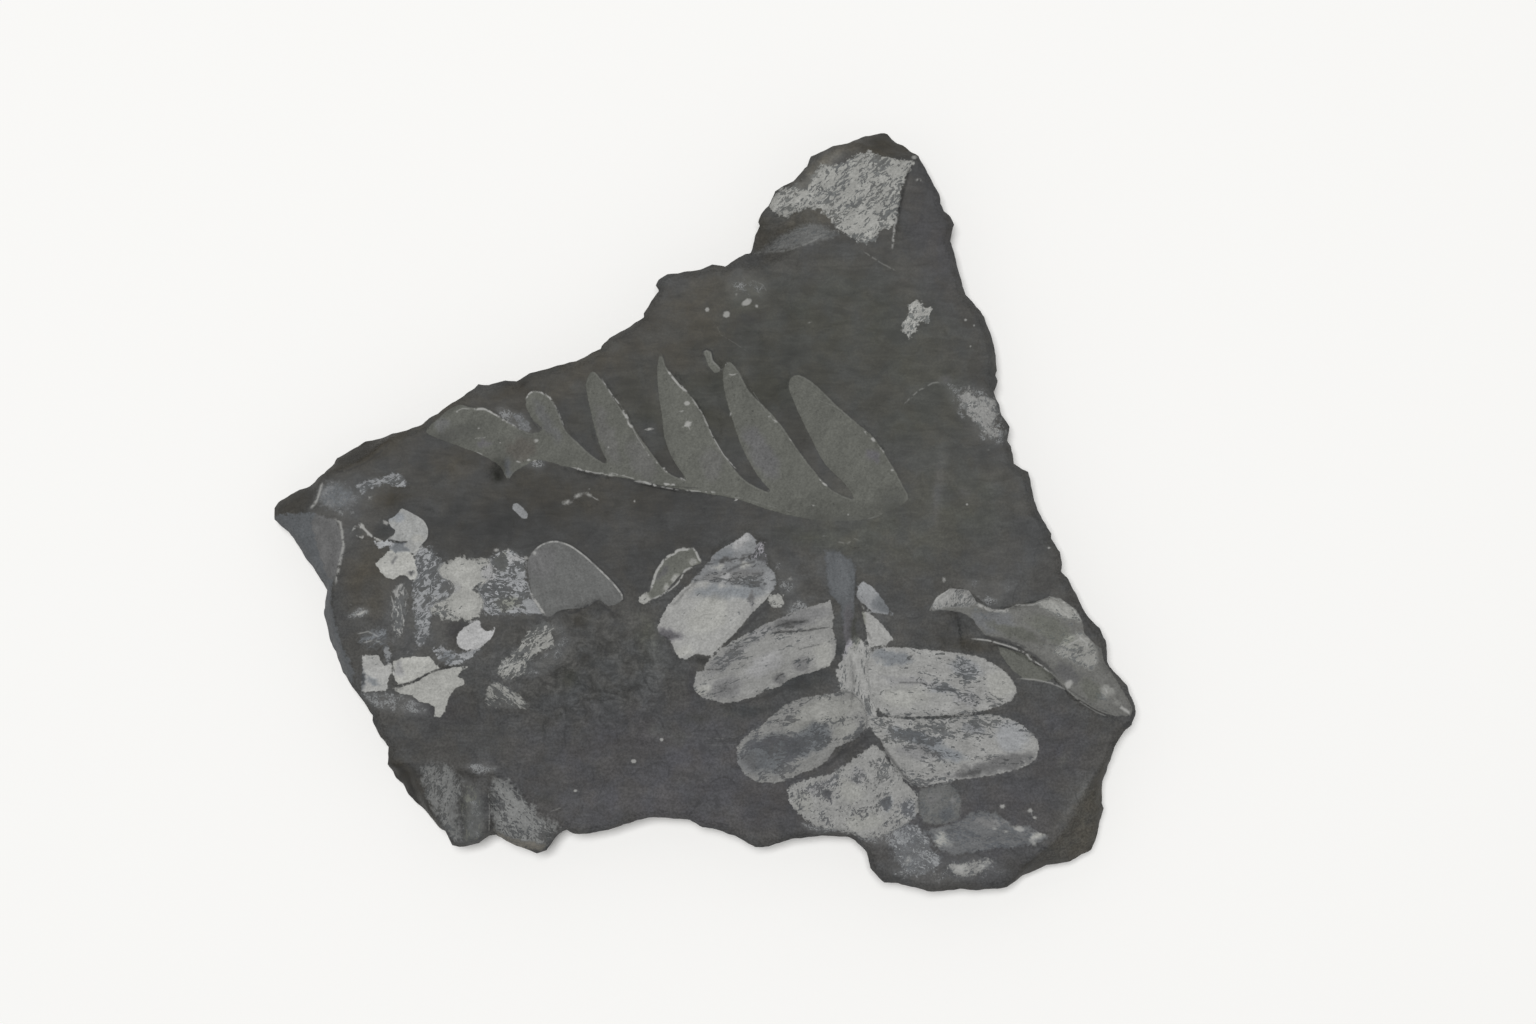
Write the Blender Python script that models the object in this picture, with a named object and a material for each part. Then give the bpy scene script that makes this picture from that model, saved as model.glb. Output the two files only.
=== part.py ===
"""Fossil fern plate: one flat piece of black shale that carries a fern frond and scattered leaflets.

The plate lies on its underside.  +Z is up, +X runs along its length and +Y across it.  The origin is
the middle of its footprint, on the surface that it rests on.  Plan positions are in millimetres.
"""

import math

import bmesh
import bpy
import numpy as np
from mathutils.geometry import delaunay_2d_cdt

MM = 0.001

# Driving dimensions, in millimetres.
THICKNESS = 11.0  # from the underside to the bedding surface that the fern lies on
FROND_RELIEF = 0.45  # how far the frond stands out of the shale
LEAFLET_RELIEF = 0.3  # how far the thin leaflets below it stand out
LEAF_EDGE = 0.6  # width of the sloping margin of a leaf
RIM_WIDTH = 1.0  # width of the broken arris round the top
RIM_DROP = (0.5, 1.7)  # least and greatest depth of that arris
UNDERSIDE_LIFT = (0.3, 1.1)  # how far the underside's margin stands off the ground

# Spacing of the points of the mesh, in millimetres.
RIM_STEP = 2.1
LEAF_STEP = 1.7
GRID_STEP = 2.9
GRID_JITTER = 0.18  # share of the grid's spacing
MERGE = 0.05  # points this close in plan become one

SEED = 11

# The broken outline seen from above, clockwise from the west tip.
PLATE_OUTLINE = [
    # north-west edge, up to the notch below the north end
    (-60.1, 0.3), (-59.5, 1.1), (-57.8, 2.1), (-56.5, 2.9), (-55.1, 3.4), (-54.1, 4.3), (-52.7, 5.1),
    (-51.4, 7.3), (-50.0, 8.1), (-47.4, 9.5), (-45.5, 10.1), (-42.2, 10.9), (-39.0, 12.0),
    (-38.1, 12.8), (-36.9, 13.4), (-34.9, 14.9), (-31.8, 16.9), (-31.3, 17.5), (-29.9, 17.4),
    (-27.6, 18.1), (-26.0, 17.9), (-24.3, 19.1), (-22.0, 19.6), (-17.7, 20.7), (-14.2, 22.4),
    (-14.1, 22.9), (-13.1, 24.0), (-11.0, 25.1), (-8.3, 26.9), (-8.3, 27.4), (-6.2, 30.6),
    (-6.6, 31.3), (-6.2, 32.0), (-5.0, 32.8), (-0.8, 33.4), (1.2, 34.1), (3.0, 33.9), (5.8, 35.7),
    (6.7, 35.9),
    # north end
    (7.2, 38.1), (7.8, 39.6), (7.6, 40.1), (8.0, 41.2), (9.0, 42.4), (10.0, 44.4), (12.5, 45.8),
    (14.5, 47.8), (15.0, 49.2), (18.0, 50.7), (20.0, 51.1), (22.6, 52.3), (25.2, 52.8),
    (27.0, 51.3), (27.8, 51.0), (29.8, 49.2), (31.0, 47.0), (32.8, 44.0), (32.9, 42.7),
    # east edge, down to the east tip
    (33.4, 41.7), (34.3, 40.9), (34.9, 39.8), (34.2, 37.5), (35.0, 35.1), (36.0, 31.2),
    (36.5, 30.0), (37.6, 28.7), (39.0, 26.9), (39.8, 24.8), (40.6, 21.6), (40.7, 19.5),
    (40.5, 18.8), (40.8, 18.0), (40.3, 16.5), (41.1, 14.8), (41.4, 13.3), (42.5, 11.6),
    (42.3, 9.7), (42.8, 8.9), (43.2, 6.5), (45.1, 5.3), (45.7, 2.5), (46.6, -0.4), (48.3, -3.2),
    (48.3, -3.9), (49.5, -5.8), (49.8, -7.5), (49.6, -8.5), (50.6, -9.4), (51.5, -11.3),
    (52.7, -13.6), (53.9, -15.3), (55.0, -16.4), (55.8, -18.1), (56.0, -20.9), (56.4, -21.7),
    (58.8, -24.4), (60.0, -27.2), (60.1, -28.0),
    # south-east end
    (59.4, -29.8), (58.5, -30.8), (57.0, -32.9), (56.6, -34.9), (55.7, -37.8), (55.5, -40.9),
    (55.8, -41.6), (54.7, -45.9), (54.0, -47.3), (51.1, -49.0), (47.9, -49.5), (44.5, -51.0),
    (42.2, -52.4), (37.9, -52.8), (35.7, -52.5), (31.6, -53.0), (27.1, -51.8), (25.2, -51.6),
    # south edge, westward
    (23.2, -49.7), (22.7, -47.5), (21.1, -45.8), (20.2, -45.3), (15.4, -45.2), (12.2, -45.5),
    (9.0, -46.7), (7.2, -46.8), (4.5, -45.2), (2.2, -44.4), (-0.1, -44.0), (-1.9, -43.0),
    (-6.8, -42.5), (-9.1, -42.9), (-12.3, -44.1), (-15.9, -44.8), (-18.2, -44.9), (-19.1, -44.3),
    (-20.0, -44.8), (-21.9, -47.1), (-23.2, -47.6), (-25.0, -46.9), (-28.9, -45.1), (-29.9, -45.2),
    (-31.3, -46.1), (-34.0, -46.8), (-34.9, -46.5), (-35.9, -44.5),
    # south-west edge, back up to the west tip
    (-36.9, -44.2), (-39.9, -41.2), (-41.5, -39.7), (-42.3, -38.3), (-43.2, -37.5), (-44.0, -35.3),
    (-43.8, -32.9), (-44.9, -31.5), (-46.0, -29.2), (-46.0, -28.5), (-49.0, -24.1), (-50.4, -22.6),
    (-51.4, -19.7), (-52.2, -18.2), (-53.1, -14.0), (-52.6, -11.1), (-53.1, -10.1), (-55.7, -6.4),
    (-58.0, -3.0), (-60.0, -1.2), (-60.1, -0.5),
]

# The frond: six pinnules that run together into the stalk, clockwise from the north-west edge.
FROND = [
    (-38.6, 11.0), (-37.0, 12.7), (-35.6, 13.9), (-33.8, 14.7), (-32.3, 14.3), (-30.3, 14.2),
    (-28.4, 13.1), (-26.6, 11.9), (-24.3, 10.8), (-22.4, 11.2),
    # second pinnule
    (-23.9, 12.8), (-24.7, 14.8), (-24.3, 16.1), (-23.2, 16.6), (-21.3, 15.6), (-20.1, 13.4),
    (-19.1, 11.1), (-17.3, 9.3), (-15.3, 7.5), (-13.4, 6.6),
    # third pinnule
    (-14.4, 9.0), (-15.3, 12.2), (-16.1, 15.8), (-16.3, 17.8), (-15.4, 19.3), (-14.1, 18.1),
    (-12.2, 15.2), (-10.5, 12.7), (-9.0, 10.4), (-7.0, 7.7), (-5.2, 5.5), (-2.5, 4.3),
    # fourth pinnule, with a sharp tip
    (-4.1, 6.8), (-5.3, 9.6), (-5.8, 13.0), (-6.4, 17.6), (-6.4, 20.0), (-5.95, 21.9), (-5.1, 19.8),
    (-3.5, 17.6), (-1.6, 15.7), (0.0, 13.2), (1.5, 9.8), (3.4, 6.9), (5.9, 4.1), (9.2, 2.6),
    # fifth pinnule
    (7.2, 5.3), (5.4, 8.6), (4.1, 12.3), (3.0, 16.2), (2.7, 19.3), (3.6, 20.6), (4.9, 19.2),
    (6.4, 16.5), (8.6, 14.3), (10.9, 11.7), (13.3, 8.2), (15.8, 5.0), (17.8, 2.9), (20.8, 1.6),
    # sixth pinnule
    (19.5, 3.8), (16.8, 6.5), (15.0, 9.9), (13.0, 14.0), (11.8, 17.3), (12.8, 18.8), (15.0, 17.9),
    (18.2, 14.9), (21.0, 12.4), (23.6, 10.2), (25.8, 6.9), (27.4, 4.0), (28.4, 1.6),
    # the stalk, back westward
    (26.3, 0.2), (22.8, -1.2), (17.4, -1.5), (13.0, -0.9), (8.7, 0.2), (4.5, 1.6), (0.0, 2.4),
    (-5.0, 3.3), (-10.0, 4.3), (-15.0, 5.2), (-19.5, 6.2), (-22.9, 7.0), (-24.8, 6.2), (-26.2, 5.4),
    (-27.2, 4.3), (-28.3, 6.1), (-30.8, 7.7), (-34.0, 8.9), (-37.1, 10.1),
]

# Leaflets of other fronds: thin flakes on the bedding surface.
LEAFLETS = {
    "rimmed": [
        (-8.9, -12.4), (-7.6, -11.2), (-6.5, -8.5), (-4.9, -6.2), (-1.5, -5.3), (-0.4, -7.3),
        (-2.6, -9.0), (-5.1, -11.2),
    ],
    "fan": [
        (-24.4, -8.6), (-23.2, -5.3), (-20.9, -4.3), (-18.0, -5.2), (-14.6, -8.1), (-11.3, -11.9),
        (-13.6, -13.2), (-16.8, -13.6), (-21.6, -14.8), (-23.9, -11.3),
    ],
    "white_north": [
        (5.9, -3.1), (8.4, -5.2), (9.8, -9.4), (9.2, -12.0), (6.8, -14.2), (2.8, -18.4), (0.3, -20.1),
        (-2.8, -20.7), (-4.4, -18.6), (-6.3, -16.4), (-5.0, -13.1), (-2.2, -10.2), (1.2, -6.6),
    ],
    "white_middle": [
        (-1.3, -24.3), (-0.4, -22.3), (3.2, -18.7), (6.4, -16.6), (10.6, -14.8), (17.2, -12.6),
        (18.6, -14.8), (18.4, -18.9), (16.2, -21.6), (11.6, -23.6), (7.4, -25.6), (2.6, -26.6),
        (-0.4, -25.9),
    ],
    "white_south_west": [
        (9.0, -29.0), (12.0, -26.6), (15.0, -25.8), (20.4, -25.4), (22.5, -28.6), (21.4, -31.6),
        (18.7, -32.8), (16.6, -35.2), (13.8, -36.5), (9.6, -37.9), (6.2, -37.0), (4.6, -34.2),
        (5.4, -31.8),
    ],
    "white_east": [
        (23.8, -19.4), (31.7, -19.4), (38.0, -20.3), (42.0, -22.5), (43.5, -24.9), (42.4, -26.6),
        (38.1, -27.9), (31.7, -28.4), (25.6, -28.2), (23.3, -25.0),
    ],
    "white_south_east": [
        (23.2, -29.4), (31.7, -29.1), (39.4, -28.4), (43.6, -29.4), (46.4, -31.9), (45.9, -34.8),
        (41.3, -36.6), (34.2, -37.6), (29.8, -38.4), (26.8, -36.2), (24.8, -32.4),
    ],
    "white_south": [
        (23.9, -32.6), (26.0, -35.1), (28.2, -37.8), (30.0, -40.4), (28.6, -43.4), (23.6, -45.4),
        (19.0, -44.6), (14.6, -43.2), (11.7, -40.0), (12.8, -37.8), (17.8, -36.4), (21.6, -33.9),
    ],
}

# Broken faces that fall from a ridge on the top to the outline: the ridge, a way round outside the
# outline that closes it, and the depth at the outline.
FACETS = [
    # the dark lens on the north-west edge
    ([(-42.2, 10.9), (-44.2, 9.1), (-47.4, 6.4), (-50.6, 5.2), (-52.7, 5.1)],
     [(-54.0, 9.0), (-46.0, 13.0)], 4.4),
    # the west tip and the narrow strip that runs on south from it
    ([(-52.7, 5.1), (-53.5, 1.8), (-54.6, 0.0), (-51.0, -1.2), (-50.0, -4.6), (-51.4, -9.6),
      (-51.2, -13.0), (-50.2, -18.4), (-48.4, -22.4), (-49.0, -24.1)],
     [(-64.0, -22.0), (-66.0, 8.0)], 3.0),
    # the dark south-west face
    ([(-44.0, -35.3), (-41.5, -34.8), (-39.6, -35.3), (-39.6, -36.9), (-37.8, -41.4), (-35.9, -44.5)],
     [(-39.0, -47.0), (-48.0, -41.0)], 5.2),
    # the long bevel of the south-east end
    ([(57.0, -32.9), (53.5, -37.0), (51.2, -41.6), (48.0, -45.8), (44.2, -48.8), (42.2, -52.4)],
     [(50.0, -58.0), (64.0, -46.0)], 2.6),
    # the north end
    ([(20.0, 51.1), (22.6, 49.9), (24.8, 48.9), (28.6, 48.5), (29.8, 49.2)],
     [(31.0, 55.0), (22.0, 56.0)], 3.6),
]

# Bedding steps: the surface drops on the right-hand side of each line, then recovers with distance.
# Each has the line, the drop and the distance over which it recovers.
STEPS = [
    # the north and south margins of the grey flake on the east side
    ([(31.2, -14.2), (32.4, -12.1), (34.4, -10.8), (37.0, -11.2), (40.0, -13.7), (43.5, -13.1),
      (48.0, -12.0), (51.0, -13.2), (53.2, -17.0)], 0.6, 9.0),
    ([(36.4, -17.7), (40.0, -18.1), (44.6, -19.9), (48.6, -22.9), (51.4, -25.7), (54.4, -27.6),
      (59.4, -29.8)], 0.8, 14.0),
    # a flake lost along the crease east of the north patch
    ([(26.4, 37.0), (26.8, 40.4), (27.4, 43.6), (28.6, 48.5)], 0.5, 7.0),
]

# Valleys: the line along the bottom, the depth, and the widths of the left and right flanks.
VALLEYS = [
    ([(6.7, 35.9), (8.8, 36.6), (10.8, 37.7), (12.4, 39.2), (15.2, 39.5), (18.2, 38.6)], 2.3, 3.4, 2.6),
    ([(-29.9, -45.2), (-29.9, -41.0), (-30.2, -37.0)], 1.3, 1.4, 2.2),
    ([(-34.3, -46.7), (-33.9, -42.0), (-34.4, -37.6)], 0.8, 1.6, 1.4),
    ([(-28.2, 6.0), (-28.9, 4.8), (-30.4, 4.2)], 0.8, 1.1, 1.3),
]

# The rough swelling at the south-west corner, how far it stands up, and the width of its flank.
SWELLING = [
    (-40.2, -35.6), (-36.5, -34.6), (-29.0, -35.4), (-25.4, -37.6), (-19.6, -43.4), (-20.0, -49.0),
    (-37.0, -49.0),
]
SWELLING_HEIGHT = 0.9
SWELLING_FLANK = 2.6

# The rings of the sides, from the rim down: part of the height, distance in from the outline, how far
# that distance varies, and how many times the outline is smoothed.
SIDE_RINGS = [
    (0.84, 0.15, 0.3, 0),
    (0.64, 0.75, 0.5, 1),
    (0.60, 1.15, 0.5, 1),
    (0.36, 0.85, 0.5, 2),
    (0.31, 1.35, 0.6, 2),
    (0.10, 1.75, 0.6, 3),
]
LEAST_INSET = 0.05
UNDERSIDE_SMOOTHING = 4
UNDERSIDE_INSET = 3.0
FLAT_SCALE = 0.84  # size of the flat part of the underside against its margin

SHALE_COLOUR = (0.062, 0.062, 0.058, 1.0)
SHALE_ROUGHNESS = 0.72


def clear_scene():
    for obj in list(bpy.data.objects):
        bpy.data.objects.remove(obj, do_unlink=True)


# ---------------------------------------------------------------- plan geometry

def smoothstep(t):
    t = np.clip(t, 0.0, 1.0)
    return t * t * (3.0 - 2.0 * t)


def resample(line, step, closed=True):
    """Points along a polyline, keeping its corners and splitting every run longer than step."""
    corners = np.asarray(line, float)
    ends = np.roll(corners, -1, axis=0) if closed else corners[1:]
    points = []
    for start, end in zip(corners, ends):
        parts = max(1, round(math.dist(start, end) / step))
        points += [start + (end - start) * k / parts for k in range(parts)]
    if not closed:
        points.append(corners[-1])
    return np.array(points)


def spline(points, step):
    """A closed Catmull-Rom curve through the points, with a point about every step."""
    corners = np.asarray(points, float)
    before, after, beyond = (np.roll(corners, shift, axis=0) for shift in (1, -1, -2))
    curve = []
    for p0, p1, p2, p3 in zip(before, corners, after, beyond):
        parts = max(1, round(math.dist(p1, p2) / step))
        for t in np.arange(parts) / parts:
            curve.append(0.5 * (2 * p1 + (p2 - p0) * t + (2 * p0 - 5 * p1 + 4 * p2 - p3) * t**2
                                + (3 * p1 - p0 - 3 * p2 + p3) * t**3))
    return np.array(curve)


def inside(points, polygon):
    """Which points lie inside a closed polygon."""
    x, y = points[:, :1], points[:, 1:]
    x1, y1 = polygon.T
    x2, y2 = np.roll(polygon, -1, axis=0).T
    spans = (y1 > y) != (y2 > y)
    rise = np.where(y2 == y1, 1.0, y2 - y1)
    crossing = x < x1 + (x2 - x1) * (y - y1) / rise
    return (spans & crossing).sum(axis=1) % 2 == 1


def nearest(points, line, closed=False):
    """Distance to a polyline, how far along it from 0 to 1, and whether a point is on its right."""
    ends = np.roll(line, -1, axis=0) if closed else line[1:]
    starts = line if closed else line[:-1]
    run = ends - starts
    length = np.maximum(np.hypot(*run.T), 1e-9)
    offset = points[:, None, :] - starts
    along = np.clip((offset * run).sum(axis=2) / length**2, 0.0, 1.0)
    apart = np.hypot(*np.moveaxis(offset - along[..., None] * run, 2, 0))
    best = apart.argmin(axis=1)
    rows = np.arange(len(points))
    reached = (np.cumsum(length) - length)[best] + along[rows, best] * length[best]
    cross = run[best, 0] * offset[rows, best, 1] - run[best, 1] * offset[rows, best, 0]
    return apart[rows, best], reached / length.sum(), cross < 0.0


def signed_distance(points, polygon):
    """Distance to a closed polygon, positive inside it."""
    apart, _, _ = nearest(points, polygon, closed=True)
    return np.where(inside(points, polygon), apart, -apart)


def noise(points, cell, seed):
    """Smooth gradient noise from about -1 to 1, with features about one cell across."""
    size = 64
    angles = np.random.RandomState(seed).uniform(0.0, 2.0 * math.pi, (size, size))
    grid = points / cell
    base = np.floor(grid).astype(int)
    local = grid - base
    weight = smoothstep(local)
    total = np.zeros(len(points))
    for i in (0, 1):
        for j in (0, 1):
            angle = angles[(base[:, 0] + i) % size, (base[:, 1] + j) % size]
            dot = np.cos(angle) * (local[:, 0] - i) + np.sin(angle) * (local[:, 1] - j)
            share = np.abs(1 - i - weight[:, 0]) * np.abs(1 - j - weight[:, 1])
            total += share * dot
    return total * 1.5


# ---------------------------------------------------------------- the top surface

def taper(along, share=0.25):
    """Fades a line's effect to nothing over this share of its length at both ends."""
    return smoothstep(along / share) * smoothstep((1.0 - along) / share)


def facet_drop(points, rim_distance):
    drop = np.zeros(len(points))
    for ridge, beyond, depth in FACETS:
        ridge = np.array(ridge)
        within = inside(points, np.vstack([ridge, beyond]))
        from_ridge, _, _ = nearest(points, ridge)
        share = from_ridge / np.maximum(from_ridge + rim_distance, 1e-6)
        drop = np.where(within, np.maximum(drop, depth * share), drop)
    return drop


def step_drop(points):
    drop = np.zeros(len(points))
    for line, depth, reach in STEPS:
        apart, along, right = nearest(points, np.array(line))
        fall = smoothstep(apart / LEAF_EDGE) * np.exp(-((apart / reach) ** 2))
        drop += np.where(right, depth * fall * taper(along), 0.0)
    return drop


def valley_drop(points):
    drop = np.zeros(len(points))
    for line, depth, left_width, right_width in VALLEYS:
        apart, along, right = nearest(points, np.array(line))
        width = np.where(right, right_width, left_width)
        drop += depth * np.clip(1.0 - apart / width, 0.0, 1.0) * smoothstep((1.0 - along) / 0.6)
    return drop


def leaf_relief(points, leaves):
    """How far the leaves stand out; the first of them is the frond."""
    relief = np.zeros(len(points))
    for number, leaf in enumerate(leaves):
        height = LEAFLET_RELIEF if number else FROND_RELIEF
        relief = np.maximum(relief, height * smoothstep(signed_distance(points, leaf) / LEAF_EDGE))
    return relief


def top_height(points, rim, leaves):
    """Height of the top above the ground, in millimetres."""
    rim_distance, around, _ = nearest(points, rim, closed=True)
    waves = 0.5 * noise(points, 31.0, SEED) + 0.22 * noise(points, 11.0, SEED + 1)
    arris = np.interp(noise(points, 9.0, SEED + 2), (-0.7, 0.7), RIM_DROP)
    arris *= (1.0 - np.clip(rim_distance / RIM_WIDTH, 0.0, 1.0)) ** 1.5
    swelling = smoothstep(signed_distance(points, np.array(SWELLING)) / SWELLING_FLANK)
    height = THICKNESS + waves + leaf_relief(points, leaves) + SWELLING_HEIGHT * swelling
    return height - arris - facet_drop(points, rim_distance) - step_drop(points) - valley_drop(points)


def offset_copy(line, distance, closed=True):
    """The line's points moved to its right by a distance."""
    ahead = np.roll(line, -1, axis=0) - np.roll(line, 1, axis=0)
    if not closed:
        ahead[0] = line[1] - line[0]
        ahead[-1] = line[-1] - line[-2]
    ahead /= np.maximum(np.hypot(*ahead.T), 1e-9)[:, None]
    return line + distance * np.column_stack([ahead[:, 1], -ahead[:, 0]])


def apart_from(points, others, distance):
    """The points that are at least this far from all of the others."""
    gaps = np.hypot(*np.moveaxis(points[:, None, :] - others, 2, 0))
    return points[gaps.min(axis=1) >= distance]


def thinned(points, distance):
    kept = []
    for point in points:
        if all(math.dist(point, other) >= distance for other in kept):
            kept.append(point)
    return np.array(kept)


def hexagonal_grid(outline, step):
    """Points over the outline's box in staggered rows, each moved a little at random."""
    west, south = outline.min(axis=0)
    east, north = outline.max(axis=0)
    rows = np.arange(south, north, step * math.sqrt(0.75))
    columns = np.arange(west, east, step)
    grid = np.array([(x + step / 2 * (i % 2), y) for i, y in enumerate(rows) for x in columns])
    return grid + np.random.RandomState(SEED).uniform(-GRID_JITTER, GRID_JITTER, grid.shape) * step


def plan_points(rim, leaves):
    """The points of the top in plan, and the lines between them that must stay edges."""
    loops = [rim] + leaves
    lines = [resample(ridge, RIM_STEP, closed=False) for ridge, _, _ in FACETS]
    lines += [resample(line, LEAF_STEP, closed=False) for line, _, _ in STEPS]
    lines += [resample(line, RIM_STEP, closed=False) for line, _, _, _ in VALLEYS]
    fixed, edges = [], []
    for line in loops + lines:
        first = len(fixed)
        fixed += list(line)
        edges += [(k, k + 1) for k in range(first, len(fixed) - 1)]
        if any(line is loop for loop in loops):
            edges.append((len(fixed) - 1, first))
    fixed = np.array(fixed)

    margins = [offset_copy(leaf, LEAF_EDGE) for leaf in leaves]
    margins = [margin[signed_distance(margin, leaf) > 0.8 * LEAF_EDGE]
               for margin, leaf in zip(margins, leaves)]
    margins.append(offset_copy(rim, RIM_WIDTH))
    margins += [offset_copy(resample(line, LEAF_STEP, closed=False), LEAF_EDGE, closed=False)
                for line, _, _ in STEPS]
    margins = apart_from(thinned(np.vstack(margins), LEAF_EDGE), fixed, 0.8 * LEAF_EDGE)
    margins = margins[signed_distance(margins, rim) > 0.8 * RIM_WIDTH]

    grid = hexagonal_grid(rim, GRID_STEP)
    grid = grid[signed_distance(grid, rim) > 0.7 * GRID_STEP]
    grid = apart_from(grid, np.vstack([fixed, margins]), 0.55 * GRID_STEP)
    return np.vstack([fixed, margins, grid]), edges


def triangulated(points, edges, outline):
    """The plan divided into triangles that keep the edges, without those outside the outline."""
    plan, _, faces, _, _, _ = delaunay_2d_cdt([tuple(p) for p in points], edges, [], 0, MERGE)
    plan = np.array([tuple(p) for p in plan])
    faces = np.array([tuple(face) for face in faces])
    middles = plan[faces].mean(axis=1)
    return plan, faces[inside(middles, outline)]


def border_of(faces):
    """The border of a patch of triangles as one ring of point numbers, in the faces' own direction."""
    sides = {(face[k], face[(k + 1) % 3]) for face in faces.tolist() for k in range(3)}
    following = {a: b for a, b in sides if (b, a) not in sides}
    ring = [next(iter(sorted(following)))]
    while following[ring[-1]] != ring[0]:
        ring.append(following[ring[-1]])
    return ring


# ---------------------------------------------------------------- the sides and the underside

def smoothed(ring, times):
    for _ in range(times):
        ring = 0.5 * ring + 0.25 * (np.roll(ring, 1, axis=0) + np.roll(ring, -1, axis=0))
    return ring


def side_rings(border, heights):
    """Rings of points from below the rim to the edge of the underside."""
    rings = []
    for number, (share, inset, spread, times) in enumerate(SIDE_RINGS):
        vary = spread * noise(border, 7.0, SEED + 10 + number // 2)
        base = smoothed(border, times)
        inward = smoothed(offset_copy(base, -1.0) - base, 2)
        plan = base + inward * np.maximum(inset + vary, LEAST_INSET)[:, None]
        rings.append(np.column_stack([plan, share * heights]))
    base = smoothed(border, UNDERSIDE_SMOOTHING)
    inward = smoothed(offset_copy(base, -1.0) - base, 4)
    inset = UNDERSIDE_INSET + 0.7 * noise(border, 12.0, SEED + 20)
    lift = np.interp(noise(border, 8.0, SEED + 21), (-0.6, 0.6), UNDERSIDE_LIFT)
    rings.append(np.column_stack([base + inward * inset[:, None], lift]))
    return rings


def flat_ring(margin):
    """The edge of the flat part of the underside, inside its margin."""
    plan = smoothed(margin[:, :2], 6)
    middle = plan.mean(axis=0)
    plan = middle + (plan - middle) * FLAT_SCALE
    return np.column_stack([plan, np.zeros(len(plan))])


# ---------------------------------------------------------------- the plate

def shale_material():
    material = bpy.data.materials.new("black_shale")
    material.use_nodes = True
    shader = material.node_tree.nodes["Principled BSDF"]
    shader.inputs["Base Color"].default_value = SHALE_COLOUR
    shader.inputs["Roughness"].default_value = SHALE_ROUGHNESS
    shader.inputs["Metallic"].default_value = 0.0
    return material


def build_plate(collection):
    rim = resample(PLATE_OUTLINE, RIM_STEP)
    leaves = [spline(FROND, LEAF_STEP)] + [spline(leaf, LEAF_STEP) for leaf in LEAFLETS.values()]
    plan, faces = triangulated(*plan_points(rim, leaves), rim)
    heights = top_height(plan, rim, leaves)
    border = border_of(faces)
    rings = side_rings(plan[border], heights[border])
    rings.append(flat_ring(rings[-1]))
    middle = (rim.max(axis=0) + rim.min(axis=0)) / 2.0

    shape = bmesh.new()
    def vertex(x, y, z):
        return shape.verts.new(((x - middle[0]) * MM, (y - middle[1]) * MM, z * MM))

    top = [vertex(x, y, z) for (x, y), z in zip(plan, heights)]
    for face in faces.tolist():
        shape.faces.new([top[k] for k in face])
    above = [top[k] for k in border]
    for ring in rings:
        below = [vertex(*point) for point in ring]
        for k in range(len(ring)):
            after = (k + 1) % len(ring)
            shape.faces.new((above[after], above[k], below[k], below[after]))
        above = below
    shape.faces.new(above[::-1])
    loose = [v for v in shape.verts if not v.link_faces]
    bmesh.ops.delete(shape, geom=loose, context="VERTS")
    bmesh.ops.triangulate(shape, faces=[face for face in shape.faces if len(face.verts) > 3])
    bmesh.ops.recalc_face_normals(shape, faces=shape.faces)

    mesh = bpy.data.meshes.new("shale_plate")
    shape.to_mesh(mesh)
    shape.free()
    mesh.materials.append(shale_material())
    plate = bpy.data.objects.new("shale_plate", mesh)
    collection.objects.link(plate)
    return plate


def main():
    clear_scene()
    collection = bpy.data.collections.new("fossil_fern_plate")
    bpy.context.scene.collection.children.link(collection)
    build_plate(collection)


main()
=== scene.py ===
"""The look of the fossil fern plate: the fine broken surface of the shale and what lies on it.

The plan shapes repeat the part's own values.  Plan positions are in millimetres, at 7.2 of the
photograph's pixels to the millimetre, and their origin is close to the middle of the footprint.
"""

import math
from collections import namedtuple

import bmesh
import bpy
import numpy as np
from mathutils.geometry import delaunay_2d_cdt
from mathutils.kdtree import KDTree
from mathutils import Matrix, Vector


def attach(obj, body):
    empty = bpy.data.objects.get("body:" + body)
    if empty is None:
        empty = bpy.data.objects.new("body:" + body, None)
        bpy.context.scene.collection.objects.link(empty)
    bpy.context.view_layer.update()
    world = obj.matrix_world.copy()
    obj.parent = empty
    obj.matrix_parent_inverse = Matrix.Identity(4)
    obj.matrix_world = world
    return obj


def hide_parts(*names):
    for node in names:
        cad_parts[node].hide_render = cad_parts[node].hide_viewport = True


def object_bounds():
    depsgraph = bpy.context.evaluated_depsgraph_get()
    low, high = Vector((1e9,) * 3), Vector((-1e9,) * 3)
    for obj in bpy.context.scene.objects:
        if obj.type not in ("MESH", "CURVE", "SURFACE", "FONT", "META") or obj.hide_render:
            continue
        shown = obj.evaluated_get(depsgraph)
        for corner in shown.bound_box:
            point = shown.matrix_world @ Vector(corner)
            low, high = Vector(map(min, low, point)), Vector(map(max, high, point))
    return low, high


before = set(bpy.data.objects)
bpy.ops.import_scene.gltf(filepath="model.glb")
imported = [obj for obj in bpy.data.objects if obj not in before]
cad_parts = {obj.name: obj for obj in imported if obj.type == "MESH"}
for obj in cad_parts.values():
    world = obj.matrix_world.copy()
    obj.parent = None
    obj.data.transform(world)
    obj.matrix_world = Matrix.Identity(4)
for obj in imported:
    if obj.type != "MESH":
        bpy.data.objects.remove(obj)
CAD_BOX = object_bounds()

MM = 0.001

# ---------------------------------------------------------------- the part's own values

THICKNESS = 11.0
RIM_WIDTH = 1.0
RIM_DROP = (0.5, 1.7)
UNDERSIDE_LIFT = (0.3, 1.1)
SEED = 11  # each random field adds a number of its own to it

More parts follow.
